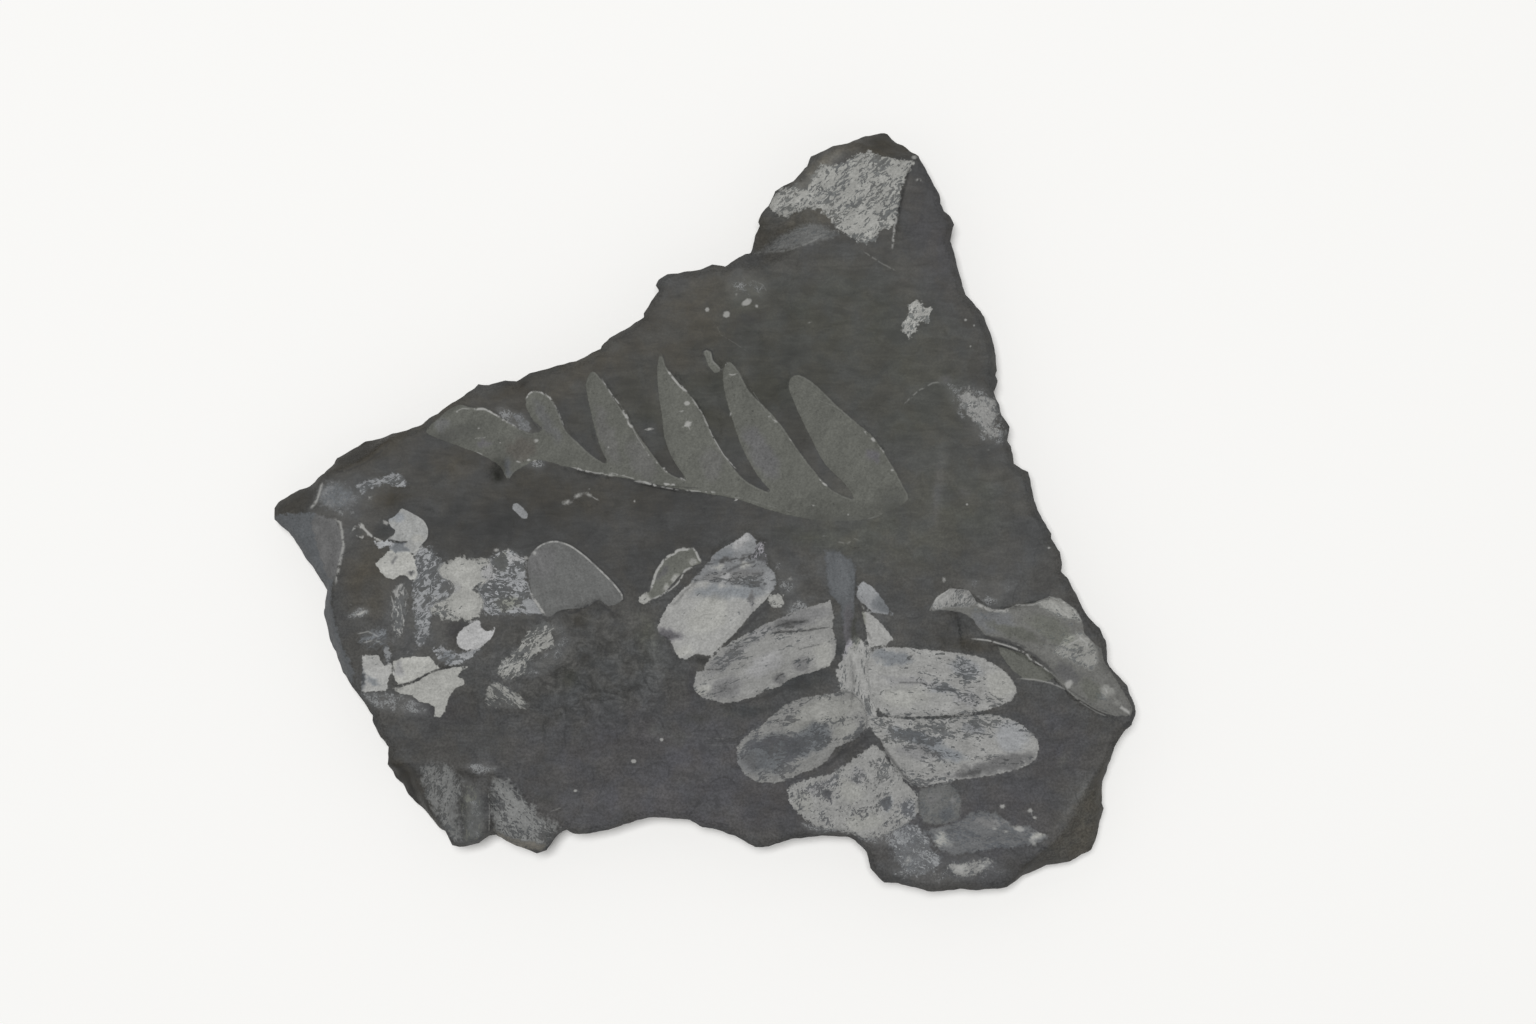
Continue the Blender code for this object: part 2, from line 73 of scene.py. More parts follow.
# The broken outline seen from above, clockwise from the west tip.
PLATE_OUTLINE = [
    # north-west edge, up to the notch below the north end
    (-60.1, 0.3), (-59.5, 1.1), (-57.8, 2.1), (-56.5, 2.9), (-55.1, 3.4), (-54.1, 4.3), (-52.7, 5.1),
    (-51.4, 7.3), (-50.0, 8.1), (-47.4, 9.5), (-45.5, 10.1), (-42.2, 10.9), (-39.0, 12.0),
    (-38.1, 12.8), (-36.9, 13.4), (-34.9, 14.9), (-31.8, 16.9), (-31.3, 17.5), (-29.9, 17.4),
    (-27.6, 18.1), (-26.0, 17.9), (-24.3, 19.1), (-22.0, 19.6), (-17.7, 20.7), (-14.2, 22.4),
    (-14.1, 22.9), (-13.1, 24.0), (-11.0, 25.1), (-8.3, 26.9), (-8.3, 27.4), (-6.2, 30.6),
    (-6.6, 31.3), (-6.2, 32.0), (-5.0, 32.8), (-0.8, 33.4), (1.2, 34.1), (3.0, 33.9), (5.8, 35.7),
    (6.7, 35.9),
    # north end
    (7.2, 38.1), (7.8, 39.6), (7.6, 40.1), (8.0, 41.2), (9.0, 42.4), (10.0, 44.4), (12.5, 45.8),
    (14.5, 47.8), (15.0, 49.2), (18.0, 50.7), (20.0, 51.1), (22.6, 52.3), (25.2, 52.8),
    (27.0, 51.3), (27.8, 51.0), (29.8, 49.2), (31.0, 47.0), (32.8, 44.0), (32.9, 42.7),
    # east edge, down to the east tip
    (33.4, 41.7), (34.3, 40.9), (34.9, 39.8), (34.2, 37.5), (35.0, 35.1), (36.0, 31.2),
    (36.5, 30.0), (37.6, 28.7), (39.0, 26.9), (39.8, 24.8), (40.6, 21.6), (40.7, 19.5),
    (40.5, 18.8), (40.8, 18.0), (40.3, 16.5), (41.1, 14.8), (41.4, 13.3), (42.5, 11.6),
    (42.3, 9.7), (42.8, 8.9), (43.2, 6.5), (45.1, 5.3), (45.7, 2.5), (46.6, -0.4), (48.3, -3.2),
    (48.3, -3.9), (49.5, -5.8), (49.8, -7.5), (49.6, -8.5), (50.6, -9.4), (51.5, -11.3),
    (52.7, -13.6), (53.9, -15.3), (55.0, -16.4), (55.8, -18.1), (56.0, -20.9), (56.4, -21.7),
    (58.8, -24.4), (60.0, -27.2), (60.1, -28.0),
    # south-east end
    (59.4, -29.8), (58.5, -30.8), (57.0, -32.9), (56.6, -34.9), (55.7, -37.8), (55.5, -40.9),
    (55.8, -41.6), (54.7, -45.9), (54.0, -47.3), (51.1, -49.0), (47.9, -49.5), (44.5, -51.0),
    (42.2, -52.4), (37.9, -52.8), (35.7, -52.5), (31.6, -53.0), (27.1, -51.8), (25.2, -51.6),
    # south edge, westward
    (23.2, -49.7), (22.7, -47.5), (21.1, -45.8), (20.2, -45.3), (15.4, -45.2), (12.2, -45.5),
    (9.0, -46.7), (7.2, -46.8), (4.5, -45.2), (2.2, -44.4), (-0.1, -44.0), (-1.9, -43.0),
    (-6.8, -42.5), (-9.1, -42.9), (-12.3, -44.1), (-15.9, -44.8), (-18.2, -44.9), (-19.1, -44.3),
    (-20.0, -44.8), (-21.9, -47.1), (-23.2, -47.6), (-25.0, -46.9), (-28.9, -45.1), (-29.9, -45.2),
    (-31.3, -46.1), (-34.0, -46.8), (-34.9, -46.5), (-35.9, -44.5),
    # south-west edge, back up to the west tip
    (-36.9, -44.2), (-39.9, -41.2), (-41.5, -39.7), (-42.3, -38.3), (-43.2, -37.5), (-44.0, -35.3),
    (-43.8, -32.9), (-44.9, -31.5), (-46.0, -29.2), (-46.0, -28.5), (-49.0, -24.1), (-50.4, -22.6),
    (-51.4, -19.7), (-52.2, -18.2), (-53.1, -14.0), (-52.6, -11.1), (-53.1, -10.1), (-55.7, -6.4),
    (-58.0, -3.0), (-60.0, -1.2), (-60.1, -0.5),
]

# The frond: six pinnules that run together into the stalk, clockwise from the north-west edge.
FROND = [
    (-38.6, 11.0), (-37.0, 12.7), (-35.6, 13.9), (-33.8, 14.7), (-32.3, 14.3), (-30.3, 14.2),
    (-28.4, 13.1), (-26.6, 11.9), (-24.3, 10.8), (-22.4, 11.2),
    # second pinnule
    (-23.9, 12.8), (-24.7, 14.8), (-24.3, 16.1), (-23.2, 16.6), (-21.3, 15.6), (-20.1, 13.4),
    (-19.1, 11.1), (-17.3, 9.3), (-15.3, 7.5), (-13.4, 6.6),
    # third pinnule
    (-14.4, 9.0), (-15.3, 12.2), (-16.1, 15.8), (-16.3, 17.8), (-15.4, 19.3), (-14.1, 18.1),
    (-12.2, 15.2), (-10.5, 12.7), (-9.0, 10.4), (-7.0, 7.7), (-5.2, 5.5), (-2.5, 4.3),
    # fourth pinnule, with a sharp tip
    (-4.1, 6.8), (-5.3, 9.6), (-5.8, 13.0), (-6.4, 17.6), (-6.4, 20.0), (-5.95, 21.9), (-5.1, 19.8),
    (-3.5, 17.6), (-1.6, 15.7), (0.0, 13.2), (1.5, 9.8), (3.4, 6.9), (5.9, 4.1), (9.2, 2.6),
    # fifth pinnule
    (7.2, 5.3), (5.4, 8.6), (4.1, 12.3), (3.0, 16.2), (2.7, 19.3), (3.6, 20.6), (4.9, 19.2),
    (6.4, 16.5), (8.6, 14.3), (10.9, 11.7), (13.3, 8.2), (15.8, 5.0), (17.8, 2.9), (20.8, 1.6),
    # sixth pinnule
    (19.5, 3.8), (16.8, 6.5), (15.0, 9.9), (13.0, 14.0), (11.8, 17.3), (12.8, 18.8), (15.0, 17.9),
    (18.2, 14.9), (21.0, 12.4), (23.6, 10.2), (25.8, 6.9), (27.4, 4.0), (28.4, 1.6),
    # the stalk, back westward
    (26.3, 0.2), (22.8, -1.2), (17.4, -1.5), (13.0, -0.9), (8.7, 0.2), (4.5, 1.6), (0.0, 2.4),
    (-5.0, 3.3), (-10.0, 4.3), (-15.0, 5.2), (-19.5, 6.2), (-22.9, 7.0), (-24.8, 6.2), (-26.2, 5.4),
    (-27.2, 4.3), (-28.3, 6.1), (-30.8, 7.7), (-34.0, 8.9), (-37.1, 10.1),
]

# Broken faces that fall from a ridge on the top to the outline: the ridge, a way round outside the
# outline that closes it, and the depth at the outline.
FACETS = [
    # the dark lens on the north-west edge
    ([(-42.2, 10.9), (-44.2, 9.1), (-47.4, 6.4), (-50.6, 5.2), (-52.7, 5.1)],
     [(-54.0, 9.0), (-46.0, 13.0)], 4.4),
    # the west tip and the narrow strip that runs on south from it
    ([(-52.7, 5.1), (-53.5, 1.8), (-54.6, 0.0), (-51.0, -1.2), (-50.0, -4.6), (-51.4, -9.6),
      (-51.2, -13.0), (-50.2, -18.4), (-48.4, -22.4), (-49.0, -24.1)],
     [(-64.0, -22.0), (-66.0, 8.0)], 3.0),
    # the dark south-west face
    ([(-44.0, -35.3), (-41.5, -34.8), (-39.6, -35.3), (-39.6, -36.9), (-37.8, -41.4), (-35.9, -44.5)],
     [(-39.0, -47.0), (-48.0, -41.0)], 5.2),
    # the long bevel of the south-east end
    ([(57.0, -32.9), (53.5, -37.0), (51.2, -41.6), (48.0, -45.8), (44.2, -48.8), (42.2, -52.4)],
     [(50.0, -58.0), (64.0, -46.0)], 2.6),
    # the north end
    ([(20.0, 51.1), (22.6, 49.9), (24.8, 48.9), (28.6, 48.5), (29.8, 49.2)],
     [(31.0, 55.0), (22.0, 56.0)], 3.6),
]

# Bedding steps: the surface drops on the right-hand side of each line, then recovers with distance.
# Each has the line, the drop and the distance over which it recovers.
STEPS = [
    ([(31.2, -14.2), (32.4, -12.1), (34.4, -10.8), (37.0, -11.2), (40.0, -13.7), (43.5, -13.1),
      (48.0, -12.0), (51.0, -13.2), (53.2, -17.0)], 0.6, 9.0),
    ([(36.4, -17.7), (40.0, -18.1), (44.6, -19.9), (48.6, -22.9), (51.4, -25.7), (54.4, -27.6),
      (59.4, -29.8)], 0.8, 14.0),
    ([(26.4, 37.0), (26.8, 40.4), (27.4, 43.6), (28.6, 48.5)], 0.5, 7.0),
]

# Edges of small ledges, which are also drawn as dark lines of painted shadow: the line, the drop and
# the distance over which it recovers, then the drawn line's half width and its strength.
LEDGES = [
    ([(-20.5, -13.9), (-18.0, -14.2), (-16.2, -13.2), (-15.0, -12.9), (-13.8, -13.3), (-12.6, -14.2),
      (-11.3, -13.6)], 0.3, 2.4, 0.35, 0.8),
    ([(-24.6, -23.4), (-21.0, -22.8), (-19.2, -22.4), (-17.8, -23.6), (-15.4, -24.8), (-12.4, -25.2),
      (-9.4, -24.8), (-6.4, -25.2)], 0.3, 3.0, 0.3, 0.4),
    ([(-10.4, -31.0), (-8.8, -32.2), (-6.6, -33.0)], 0.2, 1.6, 0.3, 0.4),
    ([(-24.0, -28.0), (-21.5, -27.8), (-19.4, -27.2), (-17.8, -28.4)], 0.25, 2.0, 0.3, 0.4),
]
FINE_STEPS = [(line, drop, recovery) for line, drop, recovery, _, _ in LEDGES]

# Valleys: the line along the bottom, the depth, and the widths of the left and right flanks.
VALLEYS = [
    ([(6.7, 35.9), (8.8, 36.6), (10.8, 37.7), (12.4, 39.2), (15.2, 39.5), (18.2, 38.6)], 2.3, 3.4, 2.6),
    ([(-29.5, -45.2), (-29.5, -41.0), (-29.8, -37.0)], 0.8, 1.0, 1.6),
    ([(-34.3, -46.7), (-33.9, -42.0), (-34.4, -37.6)], 0.8, 1.6, 1.4),
    ([(-28.2, 6.0), (-28.9, 4.8), (-30.4, 4.2)], 0.8, 1.1, 1.3),
]

# The rough swelling at the south-west edge.
SWELLING = [
    (-40.2, -35.6), (-36.5, -34.6), (-29.0, -35.4), (-25.4, -37.6), (-19.6, -43.4), (-20.0, -49.0),
    (-37.0, -49.0),
]
SWELLING_HEIGHT = 0.9
SWELLING_FLANK = 2.6

# The rings of the sides: part of the height, distance in from the outline and how far it varies.
SIDE_RINGS = [
    (0.84, 0.15, 0.3),
    (0.64, 0.75, 0.5),
    (0.60, 1.15, 0.5),
    (0.36, 0.85, 0.5),
    (0.31, 1.35, 0.6),
    (0.10, 1.75, 0.6),
]
LEAST_INSET = 0.05
UNDERSIDE_INSET = 3.0
FLAT_SCALE = 0.84

# ---------------------------------------------------------------- what lies on the bedding surface

# Tints, as shares of red, green and blue.
NEUTRAL = (1.0, 1.0, 1.0)
CREAM = (1.0, 1.0, 0.945)
PALE = (1.0, 1.0, 0.970)
OLIVE = (0.98, 1.0, 0.885)
BLUE = (0.975, 1.0, 1.025)
SLATE = (0.94, 0.995, 1.05)
VIOLET = (1.0, 0.975, 1.04)
LILAC = (1.0, 0.985, 1.09)
GREEN = (0.985, 1.0, 0.980)
BROWN = (1.06, 1.0, 0.88)
UMBER = (1.13, 1.03, 0.85)

# How a film wears: cover is how much of it is left, where 1 is whole, haze is how much of it still
# veils the worn places, and fibre is how much it varies from dense to bare.  Cell is the size of the
# worn places in mm, ragged is how far the painted edge wanders and soft is the width of that edge.
Wear = namedtuple("Wear", "cover haze fibre cell ragged soft")
WHOLE = Wear(1.15, 0.8, 0.0, 1.0, 0.1, 0.1)
SOLID = Wear(0.82, 0.40, 0.5, 1.0, 0.22, 0.1)
WORN = Wear(0.62, 0.24, 0.5, 0.85, 0.35, 0.12)
PATCHY = Wear(0.50, 0.18, 0.4, 0.85, 0.45, 0.16)
FIBROUS = Wear(0.42, 0.12, 0.5, 0.85, 0.6, 0.25)
CRUMBLY = Wear(0.60, 0.24, 0.5, 0.75, 0.45, 0.14)

# One leaf or film.  The level is the grey level that it should show, from 0 to 255.  Grain is the
# direction of its streaks in degrees and stretch is how long they are.  The pale rim faces rim_side,
# in degrees; it is partly the leaf's own pale edge and partly a painted highlight.  Relief is how far
# it stands out in mm.
Leaf = namedtuple("Leaf", "outline level tint wear grain stretch rim_side rim relief curved")


def leaf(outline, level, tint, wear, grain=0.0, stretch=1.5, rim_side=0.0, rim=0.0, relief=0.06,
         curved=False):
    return Leaf(outline, level, tint, wear, grain, stretch, rim_side, rim, relief, curved)


# Later leaves lie over earlier ones.
LEAVES = {
    # ---- thin torn films of the west side
    "tip_smear": leaf([
        (-53.0, 3.4), (-51.0, 3.8), (-49.0, 3.0), (-48.4, 1.4), (-49.6, 0.4), (-51.8, 0.2),
        (-53.4, 1.4)],
        112, BLUE, Wear(0.5, 0.6, 0.5, 1.0, 0.8, 0.9), grain=60, relief=0.0, curved=True),
    "tip_streak": leaf([
        (-48.6, 3.5), (-47.0, 4.1), (-45.2, 4.6), (-43.4, 5.2), (-42.0, 5.0), (-41.1, 4.1),
        (-41.2, 3.4), (-42.6, 3.4), (-44.2, 3.7), (-45.4, 3.3), (-46.6, 2.8), (-47.3, 2.1),
        (-47.7, 2.8)],
        140, BLUE, PATCHY, grain=20, stretch=2.0),
    "west_haze": leaf([
        (-39.8, -5.3), (-38.4, -5.0), (-37.4, -5.6), (-36.8, -6.7), (-35.6, -7.4), (-33.6, -9.6),
        (-33.4, -11.4), (-34.6, -12.9), (-37.6, -14.6), (-38.2, -17.8), (-39.8, -19.4), (-40.2, -14.0),
        (-40.4, -10.0), (-40.3, -7.0)],
        142, BLUE, Wear(0.43, 0.14, 0.3, 1.0, 0.7, 0.3), grain=42, stretch=1.9),
    "west_column": leaf([
        (-42.9, -10.6), (-41.7, -10.2), (-41.0, -11.6), (-41.3, -14.0), (-41.8, -17.0), (-42.7, -17.6),
        (-43.1, -15.6), (-43.3, -13.0)],
        148, PALE, Wear(0.42, 0.16, 0.6, 0.8, 0.7, 0.35), grain=85, stretch=2.4),
    "west_low_patch": leaf([
        (-47.8, -17.8), (-46.2, -16.8), (-44.6, -16.3), (-43.6, -17.4), (-44.0, -18.9), (-45.8, -19.3),
        (-47.6, -18.9)],
        112, SLATE, Wear(0.40, 0.18, 0.4, 0.8, 0.8, 0.5), grain=25, stretch=2.4),
    "west_wedge": leaf([
        (-44.3, -18.8), (-43.6, -18.9), (-43.3, -20.6), (-43.9, -21.2), (-44.4, -20.2)],
        124, BLUE, WORN, grain=80),
    "west_torn": leaf([
        (-30.4, -6.8), (-28.6, -5.7), (-26.4, -5.5), (-24.8, -6.6), (-24.6, -9.6), (-23.6, -12.2),
        (-22.4, -14.3), (-27.2, -14.6), (-30.2, -14.4), (-31.6, -12.8), (-31.2, -9.6)],
        146, BLUE, Wear(0.43, 0.12, 0.3, 1.1, 0.6, 0.25), grain=-8, stretch=1.6),
    "torn_corner": leaf([
        (-25.0, -12.4), (-23.9, -12.3), (-22.9, -13.6), (-22.4, -14.3), (-24.4, -14.3)],
        142, BLUE, SOLID, grain=0),
    "west_solid": leaf([
        (-36.6, -8.3), (-35.8, -7.2), (-34.2, -6.5), (-32.0, -6.7), (-30.0, -6.7), (-29.6, -8.6),
        (-30.4, -10.0), (-31.6, -10.8), (-31.2, -11.6), (-30.6, -12.8), (-30.9, -13.8), (-31.5, -15.0),
        (-33.0, -15.2), (-34.6, -15.1), (-35.7, -15.0), (-37.6, -14.4), (-37.4, -13.2), (-35.8, -12.5),
        (-34.8, -11.6), (-34.5, -10.4), (-35.1, -9.6), (-36.2, -9.2)],
        152, CREAM, Wear(0.62, 0.2, 0.7, 1.0, 0.8, 0.3), grain=15, relief=0.1, curved=True),
    "west_strip": leaf([
        (-37.6, -19.2), (-36.6, -18.8), (-35.4, -19.3), (-34.4, -19.7), (-33.0, -19.8), (-31.6, -19.0),
        (-30.2, -18.3), (-31.4, -19.6), (-32.6, -20.7), (-34.0, -21.4), (-35.8, -21.5),
        (-36.8, -20.6)],
        146, BLUE, PATCHY, grain=20),
    "almond": leaf([
        (-34.3, -17.7), (-33.6, -16.5), (-32.2, -15.6), (-31.1, -15.2), (-30.8, -16.2), (-29.9, -16.7),
        (-29.0, -16.2), (-29.2, -17.3), (-30.2, -18.4), (-31.4, -19.1), (-32.8, -19.4),
        (-34.0, -18.9)],
        168, NEUTRAL, SOLID, grain=25, stretch=2.5, relief=0.12, curved=True),
    "blob_gap": leaf([
        (-43.4, -4.6), (-41.6, -4.4), (-40.2, -4.8), (-40.4, -5.9), (-42.4, -6.2), (-43.8, -5.6)],
        112, SLATE, WHOLE, grain=0),
    "blob_north": leaf([
        (-41.85, 0.3), (-40.6, -0.3), (-39.5, -0.9), (-38.7, -1.6), (-38.25, -2.8), (-38.4, -3.9),
        (-39.2, -4.8), (-39.9, -5.7), (-40.5, -6.0), (-40.7, -5.2), (-41.4, -4.9), (-41.2, -4.3),
        (-42.2, -4.3), (-43.8, -3.9), (-43.1, -3.4), (-42.9, -2.7), (-43.5, -2.2), (-43.8, -1.3),
        (-42.9, -0.8), (-42.3, -0.1)],
        153, GREEN, WHOLE, grain=70, stretch=2.0, rim_side=-20, rim=0.6, relief=0.14, curved=True),
    "blob_arm": leaf([
        (-45.7, -4.2), (-44.4, -4.1), (-43.2, -4.3), (-43.0, -4.9), (-44.2, -5.1), (-45.2, -5.2)],
        158, BLUE, WORN, grain=-10, stretch=2.0),
    "blob_south": leaf([
        (-44.0, -5.8), (-44.8, -6.6), (-45.5, -7.3), (-45.0, -8.3), (-44.2, -9.2), (-43.0, -9.5),
        (-41.9, -8.9), (-41.3, -9.2), (-40.4, -9.7), (-39.9, -8.8), (-40.1, -7.4), (-40.3, -6.2),
        (-41.2, -5.8), (-42.6, -6.0), (-43.4, -5.6)],
        168, CREAM, SOLID, grain=10, relief=0.12, curved=True),
    "square": leaf([
        (-47.3, -20.1), (-45.0, -20.1), (-44.8, -21.0), (-44.2, -21.6), (-43.3, -21.0), (-43.3, -22.2),
        (-43.8, -23.4), (-44.0, -25.1), (-47.3, -25.2), (-47.6, -24.7)],
        158, PALE, SOLID, grain=0, relief=0.08),
    "west_upper": leaf([
        (-43.2, -21.0), (-42.0, -20.5), (-40.0, -20.3), (-38.1, -20.3), (-37.4, -21.0), (-36.8, -21.9),
        (-38.4, -22.65), (-40.2, -23.6), (-41.8, -24.2), (-42.6, -24.2), (-43.2, -22.8)],
        168, CREAM, Wear(0.88, 0.40, 0.5, 1.0, 0.22, 0.1), grain=20, relief=0.1),
    "west_lower": leaf([
        (-43.2, -24.75), (-41.4, -24.35), (-39.6, -23.6), (-37.9, -22.55), (-35.8, -21.95), (-34.3, -21.7),
        (-32.8, -21.7), (-33.6, -22.4), (-34.2, -22.9), (-33.4, -23.4), (-33.2, -24.1), (-34.4, -24.7),
        (-35.0, -25.3), (-35.5, -26.4), (-35.8, -27.9), (-36.6, -28.7), (-37.4, -28.6),
        (-37.4, -27.3), (-38.2, -26.8), (-39.5, -26.6), (-40.4, -25.7), (-42.0, -25.5)],
        157, CREAM, Wear(0.88, 0.40, 0.5, 1.0, 0.22, 0.1), grain=20, relief=0.1),
    "speckled_upper": leaf([
        (-22.0, -15.2), (-20.6, -15.9), (-21.1, -17.7), (-20.6, -19.0), (-22.9, -19.7), (-24.3, -20.9),
        (-24.7, -22.7), (-27.2, -23.6), (-28.8, -22.4), (-28.3, -21.3), (-26.8, -20.1), (-25.4, -18.5),
        (-24.7, -17.2), (-23.6, -15.9)],
        142, CREAM, Wear(0.42, 0.16, 0.3, 0.9, 0.5, 0.2), grain=42, stretch=2.2, relief=0.08),
    "speckled_lower": leaf([
        (-30.2, -24.9), (-29.3, -23.65), (-27.5, -24.25), (-25.65, -25.6), (-23.85, -27.4),
        (-26.6, -27.6), (-28.85, -27.5), (-30.2, -26.7)],
        134, CREAM, Wear(0.45, 0.14, 0.3, 0.8, 0.4, 0.2), grain=-35, stretch=2.6, relief=0.06),
    "swelling_left": leaf([
        (-39.4, -37.0), (-39.0, -35.5), (-37.3, -34.8), (-35.5, -35.2), (-34.1, -36.6), (-33.4, -38.6),
        (-34.2, -40.8), (-34.0, -43.0), (-33.4, -44.8), (-34.5, -46.4), (-35.9, -44.4),
        (-37.6, -41.7), (-38.5, -39.6)],
        114, GREEN, Wear(0.50, 0.20, 0.5, 0.75, 0.7, 0.6), grain=70, stretch=1.6, relief=0.06),
    "swelling_middle": leaf([
        (-33.2, -37.6), (-31.6, -38.4), (-30.6, -40.0), (-30.2, -43.4), (-31.0, -45.6), (-33.0, -46.2),
        (-33.2, -43.6), (-33.8, -40.8), (-33.2, -39.0)],
        104, OLIVE, Wear(0.40, 0.20, 0.6, 0.9, 0.7, 0.6), grain=80, stretch=2.0, relief=0.0),
    "swelling_right": leaf([
        (-29.0, -37.0), (-27.1, -37.4), (-25.5, -39.2), (-23.2, -41.1), (-22.8, -42.4), (-20.9, -43.0),
        (-19.9, -43.9), (-21.8, -46.7), (-25.1, -46.5), (-27.3, -45.8), (-29.0, -44.8),
        (-29.7, -40.6), (-29.5, -38.4)],
        121, GREEN, Wear(0.53, 0.18, 0.5, 0.75, 0.7, 0.6), grain=-50, stretch=1.8, relief=0.06),
    "swelling_foot": leaf([
        (-29.2, -44.3), (-27.0, -45.3), (-24.2, -46.0), (-21.9, -46.2), (-22.2, -47.3), (-25.0, -47.0),
        (-28.2, -45.9)],
        108, BROWN, Wear(0.6, 0.5, 0.5, 0.9, 0.4, 0.3), grain=-20, stretch=2.0, relief=0.0),
    # ---- the fan and the small rimmed leaflet
    "fan": leaf([
        (-24.4, -8.5), (-24.3, -6.7), (-23.0, -5.0), (-20.9, -4.2), (-18.7, -4.7), (-16.5, -6.2),
        (-14.5, -8.0), (-12.5, -10.0), (-11.2, -11.8), (-11.5, -12.7), (-13.2, -13.3), (-14.5, -12.5),
        (-16.3, -13.5), (-19.6, -13.8), (-21.7, -14.8), (-22.9, -13.2), (-23.9, -11.2)],
        99, GREEN, WHOLE, grain=-60, stretch=1.4, rim_side=60, rim=1.0, relief=0.14, curved=True),
    "rimmed": leaf([
        (-8.3, -12.1), (-7.3, -11.0), (-6.7, -9.0), (-6.3, -8.1), (-5.2, -6.6), (-3.4, -5.5),
        (-1.4, -5.3), (-0.8, -6.2), (-0.3, -7.2), (-1.6, -7.8), (-2.6, -8.4), (-4.0, -9.8),
        (-5.4, -11.4), (-7.0, -12.2)],
        98, OLIVE, WHOLE, grain=45, stretch=2.0, relief=0.14, curved=True),
    "rimmed_foot": leaf([
        (-9.0, -12.0), (-8.0, -11.5), (-7.2, -12.1), (-7.7, -12.9), (-8.8, -12.9)],
        150, CREAM, WORN, grain=45, curved=True),
    # ---- the white leaflets of the southern frond
    "stem": leaf([
        (16.8, -5.5), (18.8, -5.7), (21.0, -7.1), (21.2, -10.0), (21.0, -13.0), (21.2, -16.5),
        (21.3, -19.2), (19.8, -19.6), (19.3, -16.0), (18.9, -13.0), (17.6, -11.6), (16.9, -8.6)],
        92, SLATE, Wear(0.85, 0.6, 0.3, 1.0, 0.4, 0.3), grain=88, stretch=2.5, relief=0.1),
    "stem_film": leaf([
        (19.8, -18.2), (21.6, -17.4), (23.2, -19.2), (24.2, -21.4), (24.2, -28.8), (22.8, -30.4),
        (20.2, -30.4), (19.4, -26.0), (18.4, -22.6), (19.2, -20.4)],
        148, PALE, Wear(0.58, 0.28, 0.5, 0.8, 0.5, 0.2), grain=84, stretch=2.8, relief=0.0),
    "north_column": leaf([
        (7.3, -4.6), (8.2, -4.2), (8.6, -5.6), (8.6, -7.0), (9.0, -8.0), (7.6, -8.4), (6.2, -7.6),
        (6.6, -6.0)],
        140, VIOLET, FIBROUS, grain=80, stretch=2.0),
    "north_tip": leaf([
        (1.1, -6.5), (2.4, -5.4), (4.0, -4.4), (5.0, -3.8), (6.0, -3.1), (7.0, -3.6), (7.4, -4.5),
        (7.0, -5.4), (6.4, -6.3), (5.2, -6.7), (4.2, -7.1), (2.4, -7.2)],
        132, BLUE, SOLID, grain=30, stretch=2.2, relief=0.12, curved=True),
    "north_band": leaf([
        (-1.7, -9.9), (-0.4, -8.4), (1.0, -7.0), (3.4, -6.8), (6.0, -6.6), (8.4, -7.4), (9.6, -8.4),
        (10.0, -9.6), (9.7, -11.2), (8.0, -11.6), (4.0, -11.0), (0.0, -10.6)],
        122, BLUE, WORN, grain=8, stretch=2.6, relief=0.12, curved=True),
    "white_north": leaf([
        (-1.9, -10.1), (0.2, -10.0), (2.2, -10.4), (5.0, -10.6), (7.4, -10.9), (9.4, -11.4),
        (8.6, -12.6), (6.8, -14.1), (5.6, -15.6), (4.2, -17.2), (2.6, -18.8), (1.0, -20.1),
        (-1.2, -20.0), (-2.4, -20.7), (-3.4, -20.4), (-4.1, -19.4), (-4.6, -18.0), (-5.8, -17.4),
        (-6.5, -16.3), (-5.8, -14.8), (-4.9, -13.1), (-3.6, -11.6)],
        152, PALE, SOLID, grain=48, stretch=2.0, relief=0.14),
    "north_curl": leaf([
        (9.0, -12.0), (9.8, -11.5), (11.0, -11.7), (11.2, -13.2), (9.8, -13.6), (9.0, -13.0)],
        150, CREAM, CRUMBLY, grain=30),
    "white_middle": leaf([
        (-1.4, -24.4), (-1.0, -22.4), (0.0, -22.2), (0.4, -21.2), (2.0, -19.6), (4.0, -18.1),
        (6.4, -16.9), (8.8, -15.6), (11.4, -14.6), (13.4, -13.7), (16.0, -13.0), (17.6, -12.5),
        (18.1, -14.4), (17.9, -16.6), (18.5, -18.2), (18.4, -20.2), (17.4, -21.6), (15.6, -22.3),
        (13.2, -22.9), (11.6, -23.6), (10.6, -24.5), (8.6, -24.9), (7.2, -25.8), (4.8, -26.6),
        (2.8, -26.8), (0.2, -26.2), (-0.8, -25.6)],
        136, PALE, Wear(0.7, 0.3, 0.5, 0.9, 0.25, 0.1), grain=20, stretch=2.4,
        relief=0.14),
    "stub_upper": leaf([
        (21.8, -9.7), (23.4, -10.4), (25.0, -12.5), (26.4, -14.6), (23.4, -14.1), (21.1, -12.0)],
        140, BLUE, SOLID, grain=-50, stretch=2.0, relief=0.1),
    "stub_lower": leaf([
        (21.9, -13.5), (24.35, -15.3), (26.4, -17.8), (25.3, -18.7), (22.95, -19.0), (22.5, -16.4)],
        152, PALE, SOLID, grain=-50, stretch=2.0, relief=0.1),
    "white_south_west": leaf([
        (9.0, -29.0), (12.0, -26.6), (15.0, -25.8), (20.4, -25.4), (22.5, -28.6), (21.4, -31.6),
        (18.7, -32.8), (16.6, -35.2), (13.8, -36.5), (9.6, -37.9), (6.2, -37.0), (4.6, -34.2),
        (5.4, -31.8)],
        126, PALE, Wear(0.56, 0.26, 0.8, 0.85, 0.3, 0.12), grain=14,
        stretch=2.0, relief=0.14, curved=True),
    "white_east": leaf([
        (23.8, -19.4), (31.7, -19.4), (38.0, -20.3), (42.0, -22.5), (43.5, -24.9), (42.4, -26.6),
